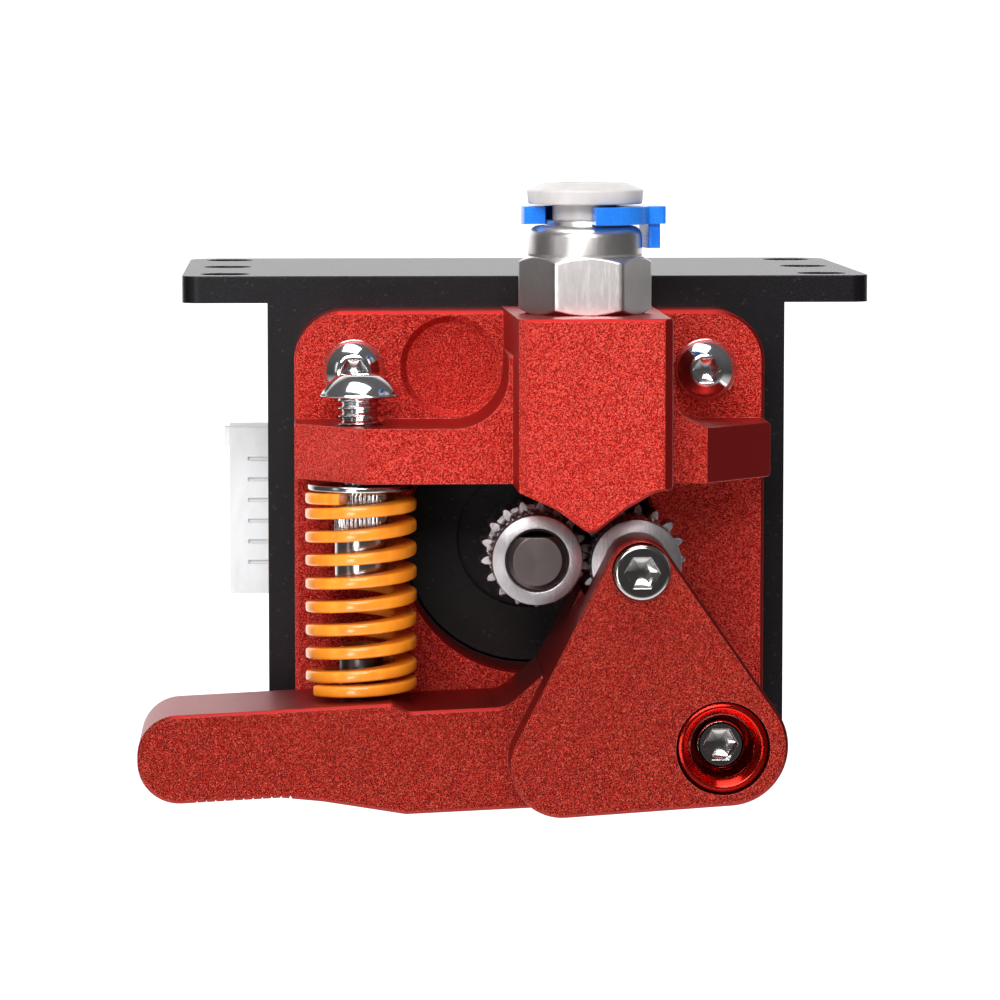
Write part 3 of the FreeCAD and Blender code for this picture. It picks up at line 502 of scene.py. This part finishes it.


# in each red the last colour is a painted highlight, the colour of the glinting grains
red = blasted_red("red_blasted", (0.24, 0.005, 0.0035), (0.62, 0.022, 0.014), (0.92, 0.11, 0.08),
                  (0.30, 0.008, 0.007), (0.95, 0.20, 0.15))
# painted shade: the lever is the same blasted red as the base, given darker colours because less light
# reaches it
lever_red_painted_shade = blasted_red("lever_red_blasted", (0.11, 0.003, 0.002), (0.33, 0.013, 0.008),
                        (0.56, 0.050, 0.030), (0.22, 0.008, 0.007), (0.72, 0.15, 0.09))
polished_red = bright_metal("polished_red", (0.72, 0.03, 0.02), 0.10, 0.24,
                            ring=(PIVOT, "Y", 0.06), edge=0.1)
bracket_black = satin_black("bracket_black", (0.0040, 0.0030, 0.0042), 0.30, 0.42)
cap_black = satin_black("motor_cap_black", (0.0035, 0.003, 0.0032), 0.34, 0.5)
chrome = bright_metal("bright_plating", (0.80, 0.79, 0.80), 0.06, 0.17, depth=0.002)
screw_steel = bright_metal("socket_screw_steel", (0.40, 0.38, 0.37), 0.08, 0.20, depth=0.002)
dark_steel = bright_metal("dark_steel", (0.16, 0.15, 0.15), 0.25, 0.45)
drive_steel = bright_metal("drive_gear_steel", (0.42, 0.39, 0.40), 0.26, 0.42,
                           ring=(SHAFT, "Y", 0.07), depth=0.006)
idler_steel = bright_metal("idler_gear_steel", (0.42, 0.39, 0.40), 0.26, 0.42,
                           ring=(IDLER, "Y", 0.07), depth=0.006)
shaft_steel = bright_metal("shaft_steel", (0.13, 0.105, 0.105), 0.30, 0.46,
                           ring=(SHAFT, "Y", 0.11), depth=0.006)
bearing_steel = bright_metal("bearing_steel", (0.72, 0.72, 0.73), 0.10, 0.22)
rotor_steel = bright_metal("rotor_steel", (0.45, 0.45, 0.46), 0.25, 0.4, streak=(1, 0.1, 1))
nickel = bright_metal("fitting_nickel", (0.80, 0.76, 0.75), 0.28, 0.42, streak=(14.0, 14.0, 1), depth=0.003)
seat_plating = bright_metal("seat_plating", (0.66, 0.64, 0.62), 0.10, 0.25)
spring_yellow = moulded("spring_yellow", (0.78, 0.22, 0.012), (0.92, 0.32, 0.025), 0.18, 0.32, coat=0.35)
collet_white = moulded("collet_white", (0.50, 0.475, 0.47), (0.60, 0.575, 0.57), 0.34, 0.5, subsurface=0.2)
clip_blue = moulded("clip_blue", (0.010, 0.15, 0.68), (0.022, 0.24, 0.86), 0.20, 0.34,
                    subsurface=0.15, coat=0.1)
nylon_white = moulded("nylon_white", (0.70, 0.70, 0.71), (0.82, 0.82, 0.83), 0.34, 0.52, subsurface=0.2)
laminations = laminated("motor_laminations")
copper = wound_copper("copper_wire")
rubber = matte_rubber("black_rubber")
magnet = bright_metal("magnet", (0.14, 0.14, 0.15), 0.35, 0.55)
tin = bright_metal("tinned_pins", (0.78, 0.77, 0.75), 0.14, 0.3)

CARRIED = {
    "bracket": bracket_black, "extruder_base": red, "lever_arm": lever_red_painted_shade,
    "idler_bearings": bearing_steel, "drive_gear_grub_screw": dark_steel,
    "fitting_grip_ring": bearing_steel, "fitting_oring": rubber,
    "motor_front_cap": cap_black, "motor_rear_cap": cap_black, "motor_stator": laminations,
    "motor_windings": copper, "motor_bobbins": nylon_white, "motor_shaft": shaft_steel,
    "rotor_cups": rotor_steel, "rotor_magnet": magnet, "bearing_outer_rings": bearing_steel,
    "bearing_inner_rings": bearing_steel, "bearing_balls": bearing_steel, "wave_washer": rotor_steel,
    "connector_housing": nylon_white, "connector_pins": tin, "fitting_clip": clip_blue,
}
for node, material in CARRIED.items():
    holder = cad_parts[node]
    if not holder.material_slots:
        holder.data.materials.append(material)
    for held in holder.material_slots:
        held.material = material


# ---- spring ----
WIRE_WIDE, WIRE_HIGH = 2.0, 1.05
CLOSED = 1.12                  # rise in one closed turn
ACTIVE_TURNS = 7.1
WIRE_STEPS = 64                # rows of points in one turn
WIRE_SQUARENESS = 0.42         # 1 is an ellipse, 0 a rectangle


def spring_wire(low_turn, high_turn, z0, z1):
    """Part of the coil between two turns, as a rounded oblong carried along a helix.

    The height is z0 plus the sum of the pitch over the angle; the pitch is close-wound for the
    first and last turn and wider between, with a smooth change over a third of a turn.
    The section is a superellipse, u = a cos^p and v = b sin^p with the sign kept, where p is
    WIRE_SQUARENESS and u points out from the coil's axis.
    """
    total = ACTIVE_TURNS + 2
    fine = np.linspace(0, total, 4000)
    inner = np.clip((np.minimum(fine, total - fine) - 0.75) / 0.35, 0, 1)
    inner = inner * inner * (3 - 2 * inner)
    closed_part = total * (1 - inner).mean()
    open_pitch = (z1 - z0 - WIRE_HIGH - CLOSED * closed_part) / (total * inner.mean())
    pitch = CLOSED + (open_pitch - CLOSED) * inner
    height = np.concatenate([[0], np.cumsum((pitch[1:] + pitch[:-1]) / 2 * np.diff(fine))])
    turns = np.linspace(low_turn, high_turn, int((high_turn - low_turn) * WIRE_STEPS) + 1)
    z = z0 + WIRE_HIGH / 2 + np.interp(turns, fine, height)
    a = around(28)
    u = WIRE_WIDE / 2 * np.sign(np.cos(a)) * np.abs(np.cos(a)) ** WIRE_SQUARENESS
    v = WIRE_HIGH / 2 * np.sign(np.sin(a)) * np.abs(np.sin(a)) ** WIRE_SQUARENESS
    low, high = span("spring")
    coil_r = (high[0] - low[0]) / 2 - WIRE_WIDE / 2
    radius = coil_r + u[None, :]
    angle = turns[:, None] * TURN + COIL_START
    z = np.clip(z[:, None] + v[None, :], z0, z1)
    return np.stack([SPRING[0] + radius * np.cos(angle), SPRING[1] + radius * np.sin(angle), z], -1), False


COIL_START = math.radians(-150)
spring_low, spring_high = span("spring")
low_z, high_z = spring_low[2], spring_high[2]
SPLIT_TURN = 5.0
wire_top = spring_wire(SPLIT_TURN, ACTIVE_TURNS + 2, low_z, high_z)
wire_low = spring_wire(0, SPLIT_TURN, low_z, high_z)
upper = skins("spring_upper", "base", [wire_top], spring_yellow, ["spring"], 50)
lower = skins("spring_lower", None, [wire_low], spring_yellow, (), 50)
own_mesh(upper)
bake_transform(lower)

# ---- adjusting screw, its seat and the post under the spring ----
screw_low, screw_high = span("adjust_screw")
screw_axis = middle("adjust_screw")
HEAD_R, HEAD_H = 3.6, 2.3
head_under = screw_high[2] - HEAD_H * 0.9
M4_R, M4_PITCH, SOCKET = 2.0, 0.7, 2.5
shell = screw_shell(head_under - screw_low[2] - 0.05, M4_R, button_head(HEAD_R, HEAD_H, SOCKET), SOCKET,
                    M4_PITCH, depth=1.3)
# the tip is a narrow dog that turns in the seat
dog = np.clip((shell[..., 2] + (head_under - span("spring_seat")[1][2]) - 0.12) / 0.15, 0, 1)
radial = np.hypot(shell[..., 0], shell[..., 1])
shrink = np.where(dog < 1, np.minimum(1, (1.4 + 0.6 * dog) / np.maximum(radial, 1e-6)), 1)
shell = shell * np.stack([shrink, shrink, np.ones_like(shrink)], -1)
skins("adjusting_screw", "screw", [(upright(shell, (screw_axis[0], screw_axis[1], head_under)), False)],
      chrome, ["adjust_screw"])

seat_low, seat_high = span("spring_seat")
seat_axis = middle("spring_seat")


def knurled_seat():
    """A flanged sleeve: turned profile, with the sleeve's upper part pressed into fine ridges."""
    angle = around(288)
    low, high = seat_low[2], seat_high[2]
    flange = (seat_high[0] - seat_low[0]) / 2
    sleeve = 2.3
    line = rounded([(0.01, low, 0), (sleeve, low, 0.3), (sleeve, high - 3.4, 0), (sleeve, high - 0.5, 0),
                    (flange, high - 0.5, 0.12), (flange, high, 0.12), (1.5, high, 0),
                    (1.5, high - 1.5, 0), (0.01, high - 1.5, 0)])
    extra = np.linspace(low + 0.5, high - 0.6, 60)
    sleeve_rows = np.stack([np.full(60, sleeve), extra], -1)
    line = np.concatenate([line[line[:, 1] < low + 0.45][:8], sleeve_rows, line[line[:, 1] > high - 0.55]])
    ridge = 0.08 * np.cos(angle * 36)
    height = line[:, 1]
    zone = np.clip((height - (high - 4.1)) / 0.15, 0, 1) * np.clip((high - 0.75 - height) / 0.1, 0, 1)
    zone = np.where(np.abs(line[:, 0] - sleeve) < 0.01, zone, 0)
    radii = line[:, :1] + zone[:, None] * (ridge - 0.08)
    return rings(radii, line[:, 1], angle)


skins("spring_seat_knurled", "seat", [(upright(knurled_seat(), (seat_axis[0], seat_axis[1], 0)), False)],
      seat_plating, ["spring_seat"])

post_low, post_high = span("spring_post")
post_axis = middle("spring_post")
post_r = (post_high[0] - post_low[0]) / 2
post = turned_solid([(0.01, post_low[2], 0), (post_r, post_low[2], 0.2), (post_r, post_high[2] - 1.2, 0.1),
                     (post_r - 0.12, post_high[2] - 1.1, 0.1), (post_r - 0.12, post_high[2], 0.4),
                     (0.01, post_high[2], 0)])
skins("spring_post_turned", "lever", [(upright(post[0], (post_axis[0], post_axis[1], 0)), False)],
      dark_steel, ["spring_post"])

# ---- screws of the base and lever ----
tip_back = span("base_button_screws")[1][1]
M3_R, M3_PITCH, SMALL_SOCKET = 1.5, 0.5, 2.0
plate_front = SHAFT[1]
uppers = [c for c in corners if c[2] > SHAFT[2]]
button = screw_shell(tip_back - plate_front, M3_R, button_head(2.75, 1.65, SMALL_SOCKET), SMALL_SOCKET,
                     M3_PITCH, depth=0.95)
skins("base_button_screws_threaded", "base",
      [(along_front(button, (c[0], plate_front, c[2])), False) for c in uppers],
      chrome, ["base_button_screws"])
flat_head = [(M3_R, -1.6, 0), (2.95, -0.12, 0.05), (2.95, 0, 0.05), (1.4, 0, 0)]
flat = screw_shell(tip_back - plate_front, M3_R, flat_head, SMALL_SOCKET, M3_PITCH, depth=1.0, plain=1.65)
sunk = corners[0]
skins("base_flat_screw_threaded", "base", [(along_front(flat, (sunk[0], plate_front, sunk[2])), False)],
      chrome, ["base_flat_screw"])

pivot_low, pivot_high = span("pivot_screw")
PIVOT_HEAD_H = 3.4
pivot_bearing = pivot_low[1] + PIVOT_HEAD_H
pivot = screw_shell(pivot_high[1] - pivot_bearing, M3_R, cap_head(2.15, PIVOT_HEAD_H, SOCKET), SOCKET,
                    M3_PITCH, depth=1.6, plain=13)
skins("pivot_screw_threaded", "base", [(along_front(pivot, (PIVOT[0], pivot_bearing, PIVOT[2])), False)],
      screw_steel, ["pivot_screw"])

idler_low, idler_high = span("idler_screw")
IDLER_HEAD_H = 1.6
idler_bearing = idler_low[1] + IDLER_HEAD_H
idler_bolt = screw_shell(idler_high[1] - idler_bearing, M3_R, cap_head(2.4, IDLER_HEAD_H, SOCKET), SOCKET,
                         M3_PITCH, depth=0.95, plain=14)
skins("idler_screw_threaded", "lever",
      [(along_front(idler_bolt, (IDLER[0], idler_bearing, IDLER[2])), False)],
      screw_steel, ["idler_screw"])

case_low, case_high = span("motor_case_screws")
CASE_HEAD_H = 2.8
case_bearing = case_high[1] - CASE_HEAD_H
case_bolt = screw_shell(case_bearing - case_low[1], M3_R, cap_head(2.75, CASE_HEAD_H, SOCKET), SOCKET,
                        M3_PITCH, depth=1.4, plain=20)
skins("motor_case_screws_threaded", "base",
      [(along_back(case_bolt, (c[0], case_bearing, c[2])), False) for c in corners],
      screw_steel, ["motor_case_screws"])

bush_low, bush_high = span("pivot_bushing")
depth_of = bush_high[1] - bush_low[1]
flange_r = (bush_high[0] - bush_low[0]) / 2
bushing = turned([(1.6, 0, 0), (3.0, 0, 0), (3.0, depth_of - 1.9, 0), (flange_r, depth_of - 1.9, 0.15),
                  (flange_r, depth_of, 0.3), (flange_r - 0.55, depth_of, 0.12), (2.85, depth_of - 0.6, 0.1),
                  (2.7, depth_of - 0.85, 0.05), (2.7, depth_of - 5.35, 0.1), (1.6, depth_of - 5.35, 0)])
skins("pivot_bushing_turned", "base", [(along_front(bushing[0], (PIVOT[0], bush_high[1], PIVOT[2])), True)],
      polished_red, ["pivot_bushing"], 45)

# ---- gears ----
MODULE, TEETH = 0.5, 17
PITCH_R = MODULE * TEETH / 2
TIP_R, ROOT_R = 4.7, 3.62
HOB_R, HOB_DEEP, HOB_TEETH, GROOVE_R = 4.0, 0.26, 40, 3.5
HUB_R, HUB_LONG = 3.9, 1.35
REAR_HUB_R, BORE_R = 4.0, 2.5
HOB_END, SPUR_START, SPUR_END = 5.3, 5.6, 9.0      # heights from the gear's front face
GROOVE_AT, GROOVE_HALF = 3.4, 1.0
TOOTH_BEVEL, BEVEL_FROM_R = 0.12, 4.5
MESH_LEAN = math.radians(0.85)                     # the idler's lean into the backlash
GEAR_COLUMNS = 680
GEAR_FRONT = span("idler_gear")[0][1]
SLACK = 0.14


def tooth_half_angle(radius):
    """Half a tooth's angle: a quarter pitch plus the involute's swing, inv(a) = tan a - a."""
    base = PITCH_R * math.cos(math.radians(20))

    def swing(r):
        pressure = np.arccos(np.minimum(1.0, base / r))
        return np.tan(pressure) - pressure

    at_pitch = math.pi / (2 * TEETH) - SLACK / (2 * PITCH_R) + swing(PITCH_R)
    return at_pitch - swing(np.maximum(radius, 0.94 * PITCH_R))


def spur_radius(angle, phase):
    """Radius of a spur gear's outline: the flank's radius for the angle from the nearest tooth."""
    away = np.abs(np.mod(angle - phase + math.pi / TEETH, TURN / TEETH) - math.pi / TEETH)
    r = np.linspace(TIP_R, ROOT_R, 40)
    half = tooth_half_angle(r)
    half[-1] = half[-2] + 0.02
    return np.interp(away, half, r)


def gear(front, back, phase, rear_hub):
    """A dual gear along its axis: hub, ring of fine teeth with a round groove, spur teeth, rear hub.

    Each row is a height from the front face and the radius all the way round there. The radius is
    that zone's outline; a step between zones repeats the height. The groove is a parabola.
    """
    def circle(radius):
        return np.full(GEAR_COLUMNS, radius)

    angle = around(GEAR_COLUMNS)
    fine = HOB_R - HOB_DEEP * np.abs(np.mod(angle * HOB_TEETH / TURN, 1) * 2 - 1)
    spur = spur_radius(angle, phase)
    bevelled = spur - TOOTH_BEVEL * (spur > BEVEL_FROM_R)
    length = back - front
    rows = [(0, circle(HUB_R - 0.16)), (0.05, circle(HUB_R - 0.05)), (0.16, circle(HUB_R)),
            (HUB_LONG, circle(HUB_R)), (HUB_LONG, fine)]
    for y in np.linspace(-GROOVE_HALF, GROOVE_HALF, 9):
        rows.append((GROOVE_AT + y, np.minimum(fine, GROOVE_R + 0.5 * y ** 2)))
    rows += [(HOB_END, fine), (HOB_END, circle(GROOVE_R)), (SPUR_START, circle(GROOVE_R)),
             (SPUR_START, bevelled), (SPUR_START + TOOTH_BEVEL, spur),
             (SPUR_END - TOOTH_BEVEL, spur), (SPUR_END, bevelled)]
    if rear_hub:
        rows += [(SPUR_END, circle(REAR_HUB_R)), (length - 0.1, circle(REAR_HUB_R)),
                 (length, circle(REAR_HUB_R - 0.1))]
    rows += [(length, circle(BORE_R + 0.15)), (length - 0.15, circle(BORE_R)),
             (0.3, circle(BORE_R)), (0, circle(BORE_R + 0.28))]
    return rings(np.stack([r for _, r in rows]), front + np.array([y for y, _ in rows]), angle)


def front_to_back(points, at):
    """Lays an upright shape along +Y, its own height being the Y it ends at."""
    return np.stack([points[..., 0] + at[0], points[..., 2], points[..., 1] + at[2]], -1)


mesh_line = math.atan2(IDLER[2] - SHAFT[2], IDLER[0] - SHAFT[0])
skins("drive_gear_cut", "rotor",
      [(front_to_back(gear(GEAR_FRONT, span("drive_gear")[1][1], mesh_line, True), SHAFT), True)],
      drive_steel, ["drive_gear"], 28)
idler_phase = mesh_line + math.pi + math.pi / TEETH + MESH_LEAN
skins("idler_gear_cut", "idler",
      [(front_to_back(gear(GEAR_FRONT, span("idler_gear")[1][1], idler_phase, False), IDLER), True)],
      idler_steel, ["idler_gear"], 28)

# ---- fitting ----
fit_low, fit_high = span("fitting_body")
HEX_ACROSS = fit_high[1] - fit_low[1]
HEX_HIGH, BARREL_R = 4.9, 4.9
BODY_BORE_R, TUBE_R, FILAMENT_R = 3.5, 2.05, 1.0
hex_bottom = span("extruder_base")[1][2]


def fitting_shell():
    """Hexagon and domed barrel over a bored thread, as one ring surface.

    The hexagon's radius is the smaller of its outline and a 30 degree cone at each end, which
    leaves the curved edge of a turned chamfer on each flat.
    """
    angle = around(192)
    outline = np.minimum(hexagon_radius(HEX_ACROSS, angle), HEX_ACROSS / 2 / math.cos(math.pi / 6) - 0.05)
    base, top = hex_bottom, hex_bottom + HEX_HIGH
    z = np.concatenate([np.linspace(base, base + 0.7, 12), np.linspace(top - 0.7, top, 12)])
    cone = HEX_ACROSS / 2 - 0.04 + np.minimum(z - base, top - z) * math.tan(math.radians(60))
    hex_r = np.minimum(outline[None, :], cone[:, None])
    shoulder = rounded([(BARREL_R - 0.04, top, 0), (BARREL_R, top + 0.25, 0.1),
                        (BARREL_R, fit_high[2], 0.95), (BODY_BORE_R, fit_high[2], 0)], 9)
    ledge, stop = hex_bottom + 1.6, fit_low[2] + 1.0
    inside = np.array([(BODY_BORE_R, ledge), (TUBE_R, ledge), (TUBE_R, stop),
                       (FILAMENT_R, stop), (FILAMENT_R, fit_low[2])])
    low_z = np.linspace(fit_low[2], base, 90)
    return np.concatenate([
        rings(thread(low_z, angle, 2.95, 0.9), low_z, angle),
        rings(hex_r, z, angle),
        rings(shoulder[:, 0], shoulder[:, 1], angle),
        rings(inside[:, 0], inside[:, 1], angle),
    ])


fit_at = (FITTING[0], FITTING[1], 0)
skins("fitting_body_hex", "base", [(upright(fitting_shell(), fit_at), True)],
      nickel, ["fitting_body"], 30)
collar_low, collar_high = span("fitting_collar")
COLLAR_BORE_R = 2.9
collar = turned([(COLLAR_BORE_R, collar_low[2], 0), (BODY_BORE_R, collar_low[2], 0),
                 (BODY_BORE_R, collar_high[2], 0.15), (COLLAR_BORE_R, collar_high[2], 0.1)])
skins("fitting_collar_ring", "base", [(upright(collar[0], fit_at), True)],
      nickel, ["fitting_collar"], 45)
col_low, col_high = span("fitting_collet")
disc_r = (col_high[0] - col_low[0]) / 2
z0, z1 = col_low[2], col_high[2]
SLEEVE_R, DISC_THICK = 2.8, 1.85
collet = turned([(TUBE_R, z0, 0), (SLEEVE_R, z0, 0.2), (SLEEVE_R, z1 - DISC_THICK, 0.12),
                 (disc_r - 0.1, z1 - DISC_THICK, 0.18), (disc_r, z1 - 0.65, 0.2), (3.5, z1 - 0.02, 0.4),
                 (TUBE_R + 0.3, z1, 0.1), (TUBE_R, z1 - 0.3, 0.05)], 7)
skins("fitting_collet_disc", "collet", [(upright(collet[0], fit_at), True)],
      collet_white, ["fitting_collet"], 45)

# ---- stage, light and camera ----
def light(name, place, aim, size, power):
    """A rectangular area lamp at a place, turned to its aim; metres and watts."""
    lamp = bpy.data.lights.new(name, "AREA")
    lamp.shape = "RECTANGLE"
    lamp.size, lamp.size_y = size
    lamp.energy = power
    holder = bpy.data.objects.new(name, lamp)
    holder.location = place
    holder.rotation_euler = (Vector(aim) - Vector(place)).to_track_quat("-Z", "Y").to_euler()
    bpy.context.scene.collection.objects.link(holder)


def floor():
    """A pale floor, level, well below the hanging part; a square grid of points."""
    side, drop = np.linspace(-0.45, 0.45, 9), -0.30
    x, y = np.meshgrid(side, side)
    points = np.stack([x, y, np.full_like(x, drop)], -1).reshape(-1, 3)
    index = np.arange(81).reshape(9, 9)
    quads = np.stack([index[:-1, :-1], index[:-1, 1:], index[1:, 1:], index[1:, :-1]], -1).reshape(-1, 4)
    mesh = bpy.data.meshes.new("floor")
    mesh.from_pydata(points, [], quads.tolist())
    f = Finish("pale_floor", Roughness=0.9, Emission_Color=(1, 1, 1, 1), Emission_Strength=0.95)
    f.done(f.tones(f.noise(60), (0.3, (0.90, 0.90, 0.90)), (0.7, (0.93, 0.93, 0.93))))
    mesh.materials.append(f.material)
    plane = bpy.data.objects.new("floor", mesh)
    bpy.context.scene.collection.objects.link(plane)


floor()
aim = (0.0, -0.026, -0.022)
light("key", (-0.08, -0.46, 0.18), aim, (0.30, 0.14), 2.05)
light("left_strip", (-0.42, -0.28, 0.06), aim, (0.08, 0.24), 0.08)
light("low_fill", (-0.17, -0.42, -0.10), aim, (0.10, 0.14), 0.40)
light("overhead", (-0.05, -0.12, 0.42), aim, (0.34, 0.22), 1.6)

world = bpy.data.worlds.new("studio")
bpy.context.scene.world = world
world.use_nodes = True
sky = world.node_tree
back = sky.nodes["Background"]
direction = sky.nodes.new("ShaderNodeTexCoord").outputs["Generated"]
parts = sky.nodes.new("ShaderNodeSeparateXYZ")
sky.links.new(direction, parts.inputs[0])


def ramp_of(axis, low, high, start, end):
    """Brightness that goes smoothly from start to end as the direction's axis part goes low to high."""
    node = sky.nodes.new("ShaderNodeMapRange")
    node.interpolation_type = "SMOOTHSTEP"
    for key, value in (("From Min", low), ("From Max", high), ("To Min", start), ("To Max", end)):
        node.inputs[key].default_value = value
    sky.links.new(parts.outputs[axis], node.inputs["Value"])
    return node.outputs[0]


def joined(operation, a, b):
    """Two brightnesses put together by one operation."""
    node = sky.nodes.new("ShaderNodeMath")
    node.operation = operation
    sky.links.new(a, node.inputs[0])
    sky.links.new(b, node.inputs[1])
    return node.outputs[0]


# bright paper behind, a dim room in front, a soft glow from the table below
behind = ramp_of("Y", 0.45, 0.90, 0.0, 1.7)
room = ramp_of("Z", -0.4, 0.9, 0.06, 0.14)
table = ramp_of("Z", -0.15, -0.5, 0.0, 0.55)
glow = joined("ADD", joined("MAXIMUM", behind, room), table)
seen = sky.nodes.new("ShaderNodeLightPath").outputs["Is Camera Ray"]
strength = sky.nodes.new("ShaderNodeMix")
strength.data_type = "FLOAT"
sky.links.new(seen, strength.inputs[0])
sky.links.new(glow, strength.inputs[2])
strength.inputs[3].default_value = 1.3
sky.links.new(strength.outputs[0], back.inputs["Strength"])
back.inputs["Color"].default_value = (1, 1, 1, 1)

EYE = Vector((-0.02067, -0.43745, 0.01826))
LOOK = Vector((0.043603, 0.994863, -0.091357))
LENS = 168.69
camera_data = bpy.data.cameras.new("camera")
camera_data.lens = LENS
camera_data.sensor_width = 36
camera = bpy.data.objects.new("camera", camera_data)
camera.location = EYE
camera.rotation_euler = LOOK.to_track_quat("-Z", "Y").to_euler()
bpy.context.scene.collection.objects.link(camera)
bpy.context.scene.camera = camera
bpy.context.scene.view_settings.view_transform = "Standard"
